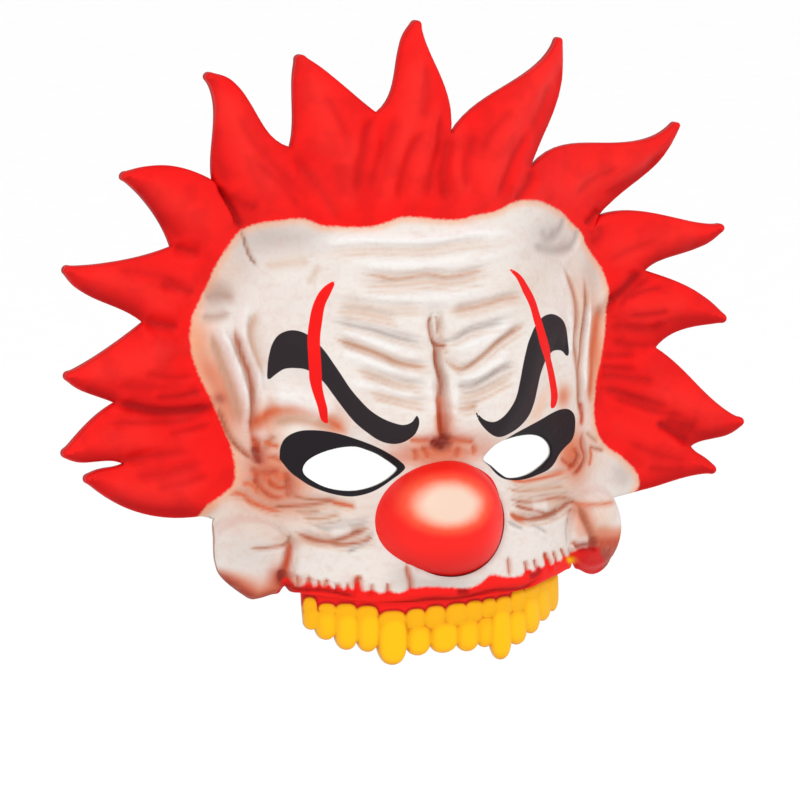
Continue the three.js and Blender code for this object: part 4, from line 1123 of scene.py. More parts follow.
@dataclass
class Relief:
    """What is pressed into the outer face, and what is painted on it."""

    fold_lift: float = 1.3
    frown_top: float = 34.0
    frown_foot: float = -50.0
    frown_fade: float = 20.0
    frown_lift: float = 2.0
    frown_side: float = 6.5
    frown_width: float = 4.0
    frown_crease: float = 2.4
    rim_lift: float = 1.6
    rim_width: float = 3.5
    lock_lift: float = 3.0
    lap_lift: float = 1.6
    lap_reach: float = 9.0
    pillow_lift: float = 0.6
    pillow_width: float = 14.0
    deepest: float = 1.5
    rim_round: float = 1.3
    dart_round: float = 0.7
    dart_sink: float = 0.9
    dart_width: float = 3.0
    folds: tuple[tuple[float, float, float, float], ...] = (
        (0.66, 0.62, 0.06, 4.0), (0.45, 0.55, 0.1, 3.6), (0.24, 0.48, 0.16, 3.6),
        (0.02, 0.42, 0.24, 3.6))

    def __post_init__(self) -> None:
        """Lifts the printed outlines onto the sheet."""
        low = pairs(660, 560, 660, 720, 170, 720, 170, 560)
        self.hairline = np.vstack([lifted(HAIRLINE, 4), PICTURE.lift(low, FORM)])
        self.brows = [lifted(rows, 4, closed=True) for rows in BROWS]
        self.surrounds = [lifted(rows, 4, closed=True) for rows in SURROUNDS]
        self.stripes = [lifted(rows, 3, closed=True) for rows in STRIPES]
        self.lip = lifted(LIP_EDGE, 3, closed=True)
        # Root, tip and half width of the ridge along each flame.
        self.locks = [(start + end - tip, tip, float(np.linalg.norm(end - start)) / 2)
                      for start, tip, end in OUTLINES.flames()]

    def lock_ridge(self, x: Array, z: Array) -> Array:
        """Height of the flames' ridges, from 0 to 1."""
        ridge = np.zeros(x.shape)
        for root, tip, half in self.locks:
            way = tip - root
            length2 = float(way @ way)
            t = ((x - root[0]) * way[0] + (z - root[1]) * way[1]) / length2
            width = half * np.minimum(1, 2 * (1.08 - t)) + OUTLINES.tip_width / 2
            across = ((x - root[0]) * way[1] - (z - root[1]) * way[0]) / math.sqrt(length2)
            across = across / np.maximum(width, 0.2)
            on = (t > 0) & (width > 0) & (np.abs(across) < 1)
            height = np.clip(1 - across * across, 0, 1) * smooth(t * 3)
            ridge = np.maximum(ridge, np.where(on, height, 0))
        return ridge

    def face_lift(self, x: Array, z: Array) -> Array:
        """Lift of the face's broad folds."""
        side = np.abs(x)
        lift = np.zeros(x.shape)
        for level, reach, sag, width in self.folds:
            along = side / (reach * OUTLINES.face_half)
            line = OUTLINES.face_rise * (level - sag * (1 - along) ** 2)
            lift += self.fold_lift * bump(z - line, width) * smooth((1.25 - along) * 2)
        frown = (smooth((self.frown_top - z) / self.frown_fade)
                 * beyond(z, self.frown_foot, self.frown_fade))
        lift += frown * (self.frown_lift * bump(side - self.frown_side, self.frown_width)
                         - self.fold_lift * bump(x, self.frown_crease))
        ring = np.hypot(x / NOSE.half_width, (z - NOSE.level) / NOSE.half_height)
        return lift + self.rim_lift * bump((ring - 1) * NOSE.half_width, self.rim_width)

    def front_lift(self, x: Array, z: Array) -> Array:
        """Whole lift of the outer face, the same for every piece of the sheet."""
        skin, _ = inside_by(x, z, self.hairline)
        lift = self.face_lift(x, z) * smooth((skin + 4) / 8)
        edge, _ = inside_by(x, z, CUTS.mask)
        pillow = smooth(edge / self.pillow_width) * self.pillow_lift
        lift += (self.lock_lift * self.lock_ridge(x, z) + pillow) * smooth((1 - skin) / 9)
        for crease in (*SKIN_CREASES, *LIP_LINES, *HAIR_CREASES):
            crease.press(x, z, lift)
        return np.maximum(lift, -self.deepest)

    def skin_paint(self, x: Array, z: Array) -> Array:
        """Soft colours of the printed skin, with painted shade under the nose ball and on the
        undersides of the cheek balls.
        """
        paint = Tint.SKIN.coat(x)
        for blot in SKIN_BLOTS:
            blot.stain(x, z, paint)
        skin, _ = inside_by(x, z, self.hairline)
        Tint.PEACH.dye(paint, 0.55 * bump(skin - 0.3, 1.9))
        edge, _ = inside_by(x, z, CUTS.face)
        # Painted shade on the undersides of both cheek balls, darker towards their lower edges.
        cheek = beyond(-z, 84, 8) * beyond(np.abs(x), 56, 6)
        for reach, tint in ((7.0, Tint.BLUSH), (4.2, Tint.RUST), (2.2, Tint.WINE)):
            tint.dye(paint, 0.75 * cheek * bump(edge, reach))
        # Painted shade on the lower part of the wearer's left cheek ball, darker towards the
        # bottom.
        slant = z + 0.15 * (x - 70)
        for level, tint, amount in ((-78.5, Tint.BLUSH, 0.7), (-82.5, Tint.RUST, 0.95),
                                    (-87.0, Tint.WINE, 0.5)):
            tint.dye(paint, amount * smooth((level - slant) / 4.5) * beyond(x, 66, 4))
        for crease in SKIN_CREASES:
            crease.stain(x, z, paint)
        return paint

    def hair_paint(self, x: Array, z: Array) -> Array:
        """Soft reds of the hair: the printed red with painted highlights on the ridges and locks,
        painted shade along the lower edges and in the grooves, and a thin darker line along every
        edge.
        """
        paint = Tint.RED.coat(x)
        # Painted highlight along each flame's ridge.
        Tint.RED_HIGHLIGHT.dye(paint, 0.3 * self.lock_ridge(x, z) ** 2)
        # Painted shade along the flames' lower edges, which face down away from the light.
        edge, rise = inside_by(x, z, CUTS.mask)
        below = np.clip(-rise, 0, 1) * smooth(edge / 2 + 0.3)
        Tint.RED_DEEP.dye(paint, 0.8 * bump(edge, 4.5) * below)
        Tint.RED_DEEP.dye(paint, 0.3 * bump(edge, 0.9))
        for crease in HAIR_CREASES:
            crease.stain(x, z, paint)
        return paint

    def lip_paint(self, x: Array, z: Array) -> Array:
        """Soft reds of the lip, with the corner tooth that is printed on it and painted shade on
        the lower part of the wearer's left cheek ball.
        """
        paint = Tint.LIP.coat(x)
        for crease in LIP_LINES:
            crease.stain(x, z, paint)
        # Painted shade on the lip's red on the wearer's left cheek ball, darker towards the bottom.
        Tint.LIP_DEEP.dye(paint, 0.5 * beyond(-z, 82, 12) * beyond(x, 58, 8))
        for blot in LIP_BLOTS:
            blot.stain(x, z, paint)
        return paint


RELIEF = Relief()


def loops_inside(x: Array, z: Array, loops: list[Array]) -> Array:
    """How far inside the nearest of several loops each point lies."""
    return np.maximum.reduce([inside_by(x, z, loop)[0] for loop in loops])


class Nodes:
    """Short hand for building a material's nodes."""

    def __init__(self, name: str) -> None:
        """Starts a material with only its output."""
        self.material = bpy.data.materials.new(name)
        self.material.use_nodes = True
        self.tree = self.material.node_tree
        self.tree.nodes.clear()
        self.output = self.tree.nodes.new("ShaderNodeOutputMaterial")

    def add(self, kind: str, inputs: dict | None = None, **settings: object) -> bpy.types.Node:
        """Adds a node, sets its properties and feeds its inputs."""
        node = self.tree.nodes.new("ShaderNode" + kind)
        for key, value in settings.items():
            setattr(node, key, value)
        for key, value in (inputs or {}).items():
            self.feed(node.inputs[key], value)
        return node

    def feed(self, socket: Socket, value: object) -> None:
        """Links a socket, or sets its constant."""
        if isinstance(value, Socket):
            self.tree.links.new(value, socket)
        else:
            socket.default_value = value

    def attribute(self, name: str, output: str = "Fac") -> Socket:
        """An attribute of the mesh."""
        return self.add("Attribute", attribute_name=name).outputs[output]

    def maths(self, operation: str, *values: object) -> Socket:
        """A sum of one to three values."""
        return self.add("Math", dict(enumerate(values)), operation=operation).outputs[0]

    def noise(self, scale: float, detail: float, stretch: Spot = (1, 1, 1)) -> Socket:
        """Noise on the object's own coordinates, about 0.5."""
        spot = self.add("TexCoord").outputs["Object"]
        place = self.add("Mapping", {"Vector": spot, "Scale": stretch}).outputs[0]
        inputs = {"Vector": place, "Scale": scale, "Detail": detail}
        return self.add("TexNoise", inputs).outputs["Fac"]

    def step(self, value: Socket, low: float, high: float) -> Socket:
        """Eases from 0 to 1 as value goes from low to high."""
        inputs = {"Value": value, "From Min": low, "From Max": high}
        return self.add("MapRange", inputs, interpolation_type="SMOOTHSTEP").outputs[0]

    def mix(self, share: object, first: object, second: object, blend: str = "MIX") -> Socket:
        """A mix of two colours."""
        inputs = {0: share, 6: first, 7: second}
        return self.add("Mix", inputs, data_type="RGBA", blend_type=blend).outputs[2]

    def bump(self, height: Socket, distance: float, strength: float) -> Socket:
        """A bump from a height, with its depth in millimetres."""
        inputs = {"Strength": strength, "Distance": distance * MILLIMETRE, "Height": height}
        return self.add("Bump", inputs).outputs[0]

    def grain(self, distance: float, strength: float) -> Socket:
        """The fine grain of the foam as a bump."""
        return self.bump(self.noise(1900, 2), distance, strength)

    def foam(self) -> Socket:
        """Colour of bare foam."""
        return self.mix(self.noise(2600, 2), linear((178, 172, 163)), linear((204, 200, 193)))

    def ragged(self, scale: float, detail: float, amount: float, name: str) -> Socket:
        """An attribute made ragged by noise of that amount."""
        rough = self.maths("SUBTRACT", self.noise(scale, detail), 0.5)
        return self.maths("MULTIPLY_ADD", rough, amount, self.attribute(name))

    def dull(self, spread: float, least: float) -> Socket:
        """Roughness that varies from place to place, from the least one up."""
        return self.maths("MULTIPLY_ADD", self.noise(300, 2), spread, least)

    def shade(self, colour: object, normal: Socket, roughness: object,
              **constants: float) -> bpy.types.Material:
        """Ends the material with its shader.

        Args:
            colour: Base colour.
            normal: Bumped normal.
            roughness: Roughness.
            constants: Other sockets of the shader by name, with underscores for spaces.

        Returns:
            The material.
        """
        inputs = {"Base Color": colour, "Normal": normal, "Roughness": roughness}
        inputs |= {key.replace("_", " "): value for key, value in constants.items()}
        self.feed(self.output.inputs[0], self.add("BsdfPrincipled", inputs).outputs[0])
        return self.material


@dataclass(frozen=True)
class PrintedFoam:
    """Foam with a smooth printed skin; its cut edge and inner face are bare foam."""

    name: str
    roughness: float = 0.55
    shine: float = 0.12
    ink: float = 0.82
    edge_darkening: Colour = (0.62, 0.44, 0.38, 1.0)
    face_prints: bool = False

    def material(self) -> bpy.types.Material:
        """Builds the material."""
        nodes = Nodes(self.name)
        skin = nodes.attribute("skin", "Color")
        wrinkle = nodes.noise(150, 5, (0.55, 1.0, 1.7))
        mottle = nodes.noise(420, 4)
        for share, tint in ((nodes.maths("MULTIPLY", nodes.step(wrinkle, 0.52, 0.3), 0.16),
                             (214, 170, 150)),
                            (nodes.maths("MULTIPLY", nodes.step(mottle, 0.5, 0.36), 0.07),
                             (190, 140, 118))):
            skin = nodes.mix(share, skin, linear(tint))
        if self.face_prints:
            lip_line = nodes.ragged(620, 4, 1.4, "lip_by")
            skin = nodes.mix(nodes.step(lip_line, -1.0, 0.7), skin, nodes.attribute("lip", "Color"))
            for by, tint in (("brow_by", Tint.BROW), ("surround_by", Tint.BLACK),
                             ("stripe_by", Tint.RED)):
                skin = nodes.mix(nodes.step(nodes.attribute(by), -0.14, 0.14), skin, linear(tint))
        is_skin = nodes.step(nodes.ragged(620, 4, 1.4, "skin_by"), -0.9, 0.5)
        streak = nodes.maths("MULTIPLY", nodes.step(nodes.noise(75, 4), 0.55, 0.35), 0.22)
        hair = nodes.mix(streak, nodes.attribute("hair", "Color"), linear(Tint.RED_DEEP))
        colour = nodes.mix(1.0, nodes.mix(is_skin, hair, skin), (*[self.ink] * 3, 1.0), "MULTIPLY")
        front = nodes.attribute("front")
        # The cut edge of the sheet is darker than its printed face.
        darker_edge = nodes.mix(1.0, colour, self.edge_darkening, "MULTIPLY")
        colour = nodes.mix(nodes.step(front, 1.0, 0.6), colour, darker_edge)
        bare = nodes.maths("MULTIPLY_ADD", nodes.attribute("cut"), -0.75, front)
        colour = nodes.mix(nodes.step(bare, 0.06, 0.01), colour, nodes.foam())
        pores = nodes.maths("MULTIPLY", mottle, 0.25)
        furrows = nodes.maths("MULTIPLY", nodes.maths("ADD", wrinkle, pores), is_skin)
        grain = nodes.grain(0.05, 0.35)
        nodes.feed(grain.node.inputs["Normal"], nodes.bump(furrows, 0.6, 0.7))
        return nodes.shade(colour, grain, nodes.dull(0.12, self.roughness - 0.06),
                           Specular_IOR_Level=self.shine)


def cut_flat(loops: list[Array], cell: float, rings: Sequence[float]) -> bmesh.types.BMesh:
    """A flat sheet in X and Z with fine cells and rings of cells along its edges.

    Args:
        loops: The outline, then its holes.
        cell: Size of a cell.
        rings: Widths of the rings along the edges, from the outside in.

    Returns:
        The flat mesh.
    """
    bm = bmesh.new()
    edges = []
    for loop in loops:
        verts = [bm.verts.new((float(x), 0.0, float(z))) for x, z in loop]
        edges += [bm.edges.new(pair) for pair in zip(verts, verts[1:] + verts[:1])]
    bmesh.ops.triangle_fill(bm, use_beauty=True, use_dissolve=False, edges=edges)
    for edge in bm.edges:
        edge.seam = len(edge.link_faces) == 2
    inner = bm.faces[:]
    for width in rings:
        bmesh.ops.inset_region(bm, faces=inner, use_boundary=True, use_even_offset=False,
                               thickness=width, depth=0.0)
        inner = [face for face in bm.faces if any(edge.seam for edge in face.edges)]
    points = np.vstack(loops)
    low, high = points.min(0), points.max(0)
    for axis, normal in ((0, (1, 0, 0)), (1, (0, 0, 1))):
        count = int((high[axis] - low[axis]) / cell)
        for place in np.linspace(low[axis], high[axis], count + 1)[1:-1]:
            where = (place, 0, 0) if axis == 0 else (0, 0, place)
            bmesh.ops.bisect_plane(bm, geom=bm.verts[:] + bm.edges[:] + bm.faces[:], dist=0.02,
                                   plane_co=where, plane_no=normal)
    spare = [edge for edge in bm.edges if edge.seam and len(edge.link_faces) == 2]
    bmesh.ops.dissolve_edges(bm, edges=spare, use_verts=True, use_face_split=False)
    return bm


def second_face(bm: bmesh.types.BMesh) -> tuple[Verts, Verts]:
    """Gives a flat sheet a second face and the edge between; returns both faces' vertices."""
    first = bm.verts[:]
    raised = bmesh.ops.extrude_face_region(bm, geom=bm.faces[:])
    return first, [item for item in raised["geom"] if isinstance(item, bmesh.types.BMVert)]


def places(verts: Verts) -> tuple[Array, Array]:
    """Places of vertices across and up."""
    return np.array([vert.co.x for vert in verts]), np.array([vert.co.z for vert in verts])


def push_back(verts: Verts, depths: Array) -> None:
    """Moves vertices to their depths."""
    for vert, depth in zip(verts, depths):
        vert.co.y = depth


def closed_up(bm: bmesh.types.BMesh, split: bool = False) -> None:
    """Turns the faces outwards, smooths their shading and, if asked, splits the large ones."""
    bmesh.ops.recalc_face_normals(bm, faces=bm.faces[:])
    if split:
        large = [face for face in bm.faces if len(face.verts) > 4]
        bmesh.ops.triangulate(bm, faces=large, quad_method="BEAUTY", ngon_method="BEAUTY")
    for face in bm.faces:
        face.smooth = True
    bm.verts.index_update()


def marked(bm: bmesh.types.BMesh, verts: Verts) -> Array:
    """One for each of these vertices and nothing for the others."""
    marks = np.zeros(len(bm.verts))
    marks[[vert.index for vert in verts]] = 1
    return marks


def mesh_of(name: str, bm: bmesh.types.BMesh) -> tuple[bpy.types.Mesh, Array]:
    """Ends the modelling; returns the mesh, and X, Y and Z of its vertices."""
    mesh = bpy.data.meshes.new(name)
    bm.to_mesh(mesh)
    bm.free()
    where = np.empty(len(mesh.vertices) * 3)
    mesh.vertices.foreach_get("co", where)
    return mesh, where.reshape(-1, 3).T


@dataclass
class SheetPiece:
    """One piece of the moulded sheet."""

    name: str
    slot: str
    node: str
    loops: list[Array]
    finish: PrintedFoam
    cell: float = 0.95
    rings: tuple[float, ...] = (0.35, 0.8)
    darts: tuple[int, ...] = ()
    laps: bool = False
    holes: list[Array] = field(default_factory=list)

    def depths(self, x: Array, z: Array) -> tuple[Array, Array]:
        """Depths of the outer and the inner face."""
        inner = FORM.inner(x, z)
        front = inner - FORM.wall_depth(x, z) - RELIEF.front_lift(x, z)
        edge = np.abs(inside_by(x, z, CUTS.mask)[0])
        for hole in self.holes[:2]:
            edge = np.minimum(edge, np.abs(inside_by(x, z, hole)[0]))
        front += rounded(edge, RELIEF.rim_round, RELIEF.rim_round)
        for side in self.darts:
            distance, _, _ = chain_distance(x, z, CUTS.darts[side])
            away = smooth(-inside_by(x, z, CUTS.face)[0] / 14)
            if self.laps:
                front -= RELIEF.lap_lift * bump(distance, RELIEF.lap_reach) * away
            else:
                front += RELIEF.dart_sink * bump(distance, RELIEF.dart_width) * away
            front += rounded(distance, RELIEF.dart_round, RELIEF.dart_round, smooth(away * 4))
        return front, inner

    def make(self) -> bpy.types.Object:
        """Cuts, shapes and paints the piece."""
        bm = cut_flat([*self.loops, *self.holes], cell_size(self.cell), self.rings)
        back, front = second_face(bm)
        push_back(front, self.depths(*places(front))[0])
        push_back(back, FORM.inner(*places(back)))
        bm.verts.index_update()
        is_front = marked(bm, front)
        closed_up(bm, split=True)
        for edge in bm.edges:
            edge.seam = False
            edge.smooth = not self.is_corner(edge, is_front)
        mesh, (x, _, z) = mesh_of(self.name, bm)
        self.paint(mesh, is_front, x, z)
        piece = finished(self.name, mesh, self.finish.material())
        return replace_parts(piece, self.node)

    @staticmethod
    def is_corner(edge: bmesh.types.BMEdge, is_front: Array) -> bool:
        """Whether an edge lies between one of the two faces and the cut edge of the sheet."""
        pair = is_front[edge.verts[0].index] + is_front[edge.verts[1].index]
        if pair == 1:
            return False
        shares = [sum(is_front[v.index] for v in f.verts) / len(f.verts) for f in edge.link_faces]
        return any(0 < share < 1 for share in shares) and pair / 2 in [round(s, 6) for s in shares]

    def paint(self, mesh: bpy.types.Mesh, is_front: Array, x: Array, z: Array) -> None:
        """Stores the print's colours and borders on the mesh."""
        store_number(mesh, "front", is_front)
        store_number(mesh, "cut", np.abs(loops_inside(x, z, CUTS.eyes)) < 0.15)
        store_number(mesh, "skin_by", inside_by(x, z, RELIEF.hairline)[0])
        store_colour(mesh, "skin", RELIEF.skin_paint(x, z))
        store_colour(mesh, "hair", RELIEF.hair_paint(x, z))
        if self.finish.face_prints:
            for name, loops in (("brow_by", RELIEF.brows), ("surround_by", RELIEF.surrounds),
                                ("stripe_by", RELIEF.stripes), ("lip_by", [RELIEF.lip])):
                store_number(mesh, name, loops_inside(x, z, loops))
            store_colour(mesh, "lip", RELIEF.lip_paint(x, z))


def store_number(mesh: bpy.types.Mesh, name: str, values: Array) -> None:
    """Stores one number for each vertex."""
    layer = mesh.attributes.new(name, "FLOAT", "POINT")
    layer.data.foreach_set("value", np.ascontiguousarray(values, np.float32))


def store_colour(mesh: bpy.types.Mesh, name: str, paint: Array) -> None:
    """Stores a printed colour for each vertex as linear light."""
    layer = mesh.attributes.new(name, "FLOAT_COLOR", "POINT")
    full = np.ones((len(paint), 4), np.float32)
    full[:, :3] = as_light(paint)
    layer.data.foreach_set("color", full.ravel())


def finished(name: str, mesh: bpy.types.Mesh, material: bpy.types.Material
             ) -> bpy.types.Object:
    """Brings a mesh in millimetres to metres and makes it a riding piece.

    Args:
        name: Name of the piece.
        mesh: Its mesh.
        material: Its material.

    Returns:
        The piece.
    """
    mesh.transform(Matrix.Scale(MILLIMETRE, 4))
    mesh.materials.append(material)
    piece = bpy.data.objects.new(name, mesh)
    bpy.context.scene.collection.objects.link(piece)
    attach(piece, "root")
    log.info("%s: %d faces", name, len(mesh.polygons))
    return piece


@dataclass(frozen=True)
class NoseFinish:
    """Glossy printed red with its printed highlight, darkened by painted shade on the underside,
    round the edge and along the seam.
    """

    name: str = "nose print"
    glow_centre: Spot = (-3.8, -23.0, -61.5)
    glow_half: Pair = (18.0, 11.5)

    def material(self) -> bpy.types.Material:
        """Builds the material."""
        nodes = Nodes(self.name)
        # Painted shade: the red darkens on the underside, round the edge and along the seam crease.
        colour = nodes.mix(nodes.attribute("low"), linear((238, 28, 20)), linear((150, 4, 6)))
        glow = nodes.ragged(160, 3, 0.12, "glow")
        colour = nodes.mix(nodes.step(glow, 0.0, 0.55), colour, linear((236, 96, 62)))
        colour = nodes.mix(nodes.step(glow, 0.30, 0.80), colour, linear((226, 196, 176)))
        colour = nodes.mix(nodes.step(nodes.attribute("front"), 0.6, 0.4), colour, nodes.foam())
        normal = nodes.grain(0.04, 0.3)
        return nodes.shade(colour, normal, nodes.dull(0.1, 0.36), Specular_IOR_Level=0.18)


@dataclass
class NoseBall:
    """The hollow nose ball with the raised ring where it meets the face."""

    form: NoseForm = NOSE
    steps: int = 144
    full_angle: float = 55.0
    seam_angle: float = 77.0
    seam_width: float = 2.2
    seam_sink: float = 0.025

    def profile(self) -> list[Vector]:
        """Half section of the ball, from its front round the tail and back inside."""
        form = self.form
        tail = math.degrees(math.acos(-form.tail / form.reach))
        thin = (1 - form.wall / form.half_width) * form.lean_side
        section = []
        for sweep, across, deep in ((np.linspace(0, tail, 90), 1, form.reach),
                                    (np.linspace(tail, 0, 30), thin, form.reach - form.wall)):
            for angle in np.radians(sweep):
                section.append(Vector((math.sin(angle) * across, -math.cos(angle) * deep, 0)))
        return section

    def swell(self, bm: bmesh.types.BMesh) -> list[tuple[float, float]]:
        """Fills the ball on one side and leaves a flange behind a seam on the other.

        Args:
            bm: The plain spun ball, changed in place.

        Returns:
            For each vertex, whether it is on the outside, and how near it is to the seam.
        """
        form = self.form
        marks = []
        for vert in bm.verts:
            outside = float(math.hypot(vert.co.x, vert.co.y / form.reach, vert.co.z) > 0.96)
            size = math.hypot(vert.co.x, vert.co.z)
            polar = math.degrees(math.atan2(size * form.reach, -vert.co.y))
            turn = vert.co.x / max(size, 1e-6)
            reach = float(smooth(polar / self.full_angle))
            across, up = 1.0, 1 + (form.full_height - 1) * reach
            if turn < 0:
                across += (form.full_side - 1) * abs(turn) ** 1.5 * reach
            else:
                across += (form.lean_side - 1) * turn ** 1.5 * reach
            on = float(beyond(turn, 0.1, 0.7) * beyond(polar, self.seam_angle, 8.0))
            across += (form.flange_side - across) * on
            up += (form.flange_side - up) * on
            seam = math.exp(-((polar - self.seam_angle) / self.seam_width) ** 2)
            seam *= float(smooth(turn * 2))
            vert.co.x *= across - self.seam_sink * seam
            vert.co.z *= up - self.seam_sink * seam
            marks.append((outside, seam))
        return marks

    def make(self) -> bpy.types.Object:
        """Spins the section into the ball and paints it."""
        bm = bmesh.new()
        verts = [bm.verts.new(point) for point in self.profile()]
        edges = [bm.edges.new(pair) for pair in zip(verts, verts[1:])]
        bmesh.ops.spin(bm, geom=verts + edges, cent=(0, 0, 0), axis=(0, 1, 0), dvec=(0, 0, 0),
                       angle=2 * math.pi, steps=self.steps, use_merge=True, use_duplicate=False)
        bmesh.ops.remove_doubles(bm, verts=bm.verts[:], dist=1e-4)
        marks = np.array(self.swell(bm))
        bmesh.ops.scale(bm, vec=(self.form.half_width, 1, self.form.half_height), verts=bm.verts[:])
        bmesh.ops.translate(bm, vec=(0, self.form.centre, self.form.level), verts=bm.verts[:])
        closed_up(bm)
        mesh, where = mesh_of("nose_print", bm)
        self.paint(mesh, marks, where)
        piece = finished("nose_print", mesh, NoseFinish().material())
        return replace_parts(piece, "nose_ball")

    def paint(self, mesh: bpy.types.Mesh, marks: Array, where: Array) -> None:
        """Stores how near each place is to the printed highlight, and the painted shade on the
        underside, round the edge and along the seam.
        """
        x, y, z = where
        finish, form = NoseFinish(), self.form
        cx, _, cz = finish.glow_centre
        r = np.hypot((x - cx) / finish.glow_half[0], (z - cz) / finish.glow_half[1])
        store_number(mesh, "glow", np.where(y < form.centre, np.clip(1.25 - r, 0, 1.25), 0))
        store_number(mesh, "front", (marks[:, 0] > 0.5) & (y < FORM.inner(x, z) + 0.2))
        # Painted shade, darker on the underside and round the edge, and darkest along the seam
        # crease.
        down = (form.level - z) / form.half_height
        round_by = np.hypot(x / form.half_width, (z - form.level) / form.half_height)
        low = 0.5 * smooth(down * 1.2 - 0.25) + 0.16 * beyond(round_by, 0.7, 0.35)
        store_number(mesh, "low", np.clip(low + 0.6 * marks[:, 1], 0, 1))


@dataclass
class TeethStrip:
    """The strip of domed teeth behind the lip."""

    cell: float = 0.6
    rings: Pair = (0.3, 0.5)
    rim_round: float = 1.2
    strip_top: float = 4.0
    half: float = 57.0
    lip_share: float = 0.98
    lip_rise: float = 0.055
    lip_power: float = 2.2
    foot_power: float = 2.4
    foot_round: float = 0.55
    side_power: float = 2.7
    end_power: float = 2.8
    knob_base: float = 1.0

    @staticmethod
    def placed(knobs: tuple[Knob, ...]) -> list[tuple[Array, float, float, float]]:
        """Centre, half width, half height and lift of each knob in millimetres."""
        made = []
        for knob in knobs:
            (cx, cy), (across, up) = knob.centre, knob.half
            rows = pairs(cx, cy, cx - across, cy, cx + across, cy)
            middle, left, right = PICTURE.lift(rows, FORM)
            half = 1.05 * float(right[0] - left[0]) / 2
            made.append((middle, half, up / PICTURE.scale, knob.lift))
        return made

    def lip_level(self, x: Array | float) -> Array:
        """Level of the lip's lower edge."""
        share = np.minimum(1, np.abs(x) / self.half)
        return -OUTLINES.face_drop * (self.lip_share - self.lip_rise * share ** self.lip_power)

    def outline(self) -> Array:
        """Edge of the strip: a straight hidden top and a rounded foot for each tooth."""
        crowns = self.placed(CROWNS)
        start = crowns[0][0][0] - crowns[0][1]
        end = crowns[-1][0][0] + crowns[-1][1]
        points = [(float(x), float(self.lip_level(x)) + self.strip_top)
                  for x in np.linspace(end, start, 60)]
        across = np.linspace(start, end, 330)
        middles = np.array([crown[0][0] for crown in crowns])
        feet = np.array([crown[0][1] - 0.42 * crown[2] for crown in crowns])
        level = np.interp(across, middles, feet)
        rise = np.clip((np.abs(across - (start + end) / 2) - 0.46 * (end - start)) / 3, 0, 1)
        level = level + 8 * rise ** 2
        for middle, half, height, _ in crowns:
            share = np.minimum(1, np.abs(across - middle[0]) / half)
            lobe = middle[1] - height * (1 - share ** self.foot_power) ** self.foot_round
            level = np.minimum(level, np.where(share < 1, lobe, np.inf))
        level = np.minimum(level, self.lip_level(across) + self.strip_top - 2)
        return np.array(points + [(float(x), float(z)) for x, z in zip(across, level)])

    def domes(self, x: Array, z: Array) -> tuple[Array, ...]:
        """Lift of the teeth, and where the gum, the crowns and all knobs are.

        Args:
            x: Places across.
            z: Places up.

        Returns:
            The lift, how far below the gum each place lies, how far inside a crown, and how
            far inside any knob.
        """
        notches = PICTURE.lift(GUM_NOTCHES, FORM)
        tooth_by = np.interp(x, notches[:, 0], notches[:, 1]) - z
        lift = np.zeros(x.shape)
        crown_on = np.zeros(x.shape)
        knob_on = np.zeros(x.shape)
        for is_crown, knobs in ((False, self.placed(NECKS)), (True, self.placed(CROWNS))):
            for middle, half, height, knob_lift in knobs:
                r2 = ((np.abs(x - middle[0]) / half) ** self.side_power
                      + (np.abs(z - middle[1]) / height) ** self.end_power)
                dome = np.clip(1 - r2, 0, 1) ** 0.5
                higher = knob_lift * dome > lift
                knob_on = np.where(higher, np.clip(1 - r2, 0, 1), knob_on)
                if is_crown:
                    crown_on = np.where(higher, np.clip(1 - r2, 0, 1), crown_on)
                else:
                    inside = (1 - np.sqrt(np.maximum(r2, 1e-9))) * min(half, height)
                    tooth_by = np.maximum(tooth_by, inside)
                lift = np.maximum(lift, knob_lift * dome)
        base = self.knob_base * smooth(tooth_by / 1.5)
        return np.maximum(lift, base), tooth_by, crown_on, knob_on

    def make(self) -> bpy.types.Object:
        """Cuts, shapes and paints the strip."""
        outline = self.outline()
        bm = cut_flat([outline], cell_size(self.cell), self.rings)
        back, front = second_face(bm)
        x, z = places(front)
        lift = self.domes(x, z)[0] * smooth((self.lip_level(x) - z) / 2.0)
        edge = np.abs(inside_by(x, z, outline)[0])
        drop = rounded(edge, self.rim_round, self.rim_round)
        push_back(front, FORM.inner(x, z) + FORM.gap - lift + drop)
        push_back(back, FORM.inner(*places(back)) + FORM.gap + FORM.wall)
        closed_up(bm, split=True)
        is_front = marked(bm, front)
        mesh, (x, _, z) = mesh_of("teeth_print", bm)
        store_number(mesh, "front", is_front)
        for name, values in zip(("lift", "tooth_by", "crown_on", "knob_on"), self.domes(x, z)):
            store_number(mesh, name, values)
        piece = finished("teeth_print", mesh, self.material())
        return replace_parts(piece, "teeth_strip")

    def material(self) -> bpy.types.Material:
        """Yellow crowns with orange borders in a red gum; the crowns are painted lighter where they
        rise highest, a painted highlight.
        """
        nodes = Nodes("teeth print")
        lift, crown = nodes.attribute("lift"), nodes.attribute("crown_on")
        edge = nodes.ragged(700, 3, 0.5, "tooth_by")
        deep = linear((212, 126, 6))
        # Painted highlight: the crowns turn lighter yellow where the domes rise highest.
        body = nodes.mix(nodes.step(lift, 1.8, 3.2), linear((234, 168, 2)), linear((238, 182, 2)))
        colour = nodes.mix(nodes.step(crown, 0.0, 0.3), linear((234, 168, 3)), body)
        colour = nodes.mix(nodes.step(nodes.attribute("knob_on"), 0.0, 0.34), deep, colour)
        gum = nodes.mix(nodes.step(edge, -2.0, -0.3), linear((240, 20, 14)), linear((186, 10, 8)))
        colour = nodes.mix(nodes.step(edge, -0.25, 0.25), gum, colour)
        bare = nodes.maths("SUBTRACT", 1.0, nodes.step(nodes.attribute("front"), 0.25, 0.45))
        colour = nodes.mix(bare, colour, nodes.foam())
        normal = nodes.grain(0.04, 0.3)
        return nodes.shade(colour, normal, nodes.dull(0.12, 0.44), Specular_IOR_Level=0.15)


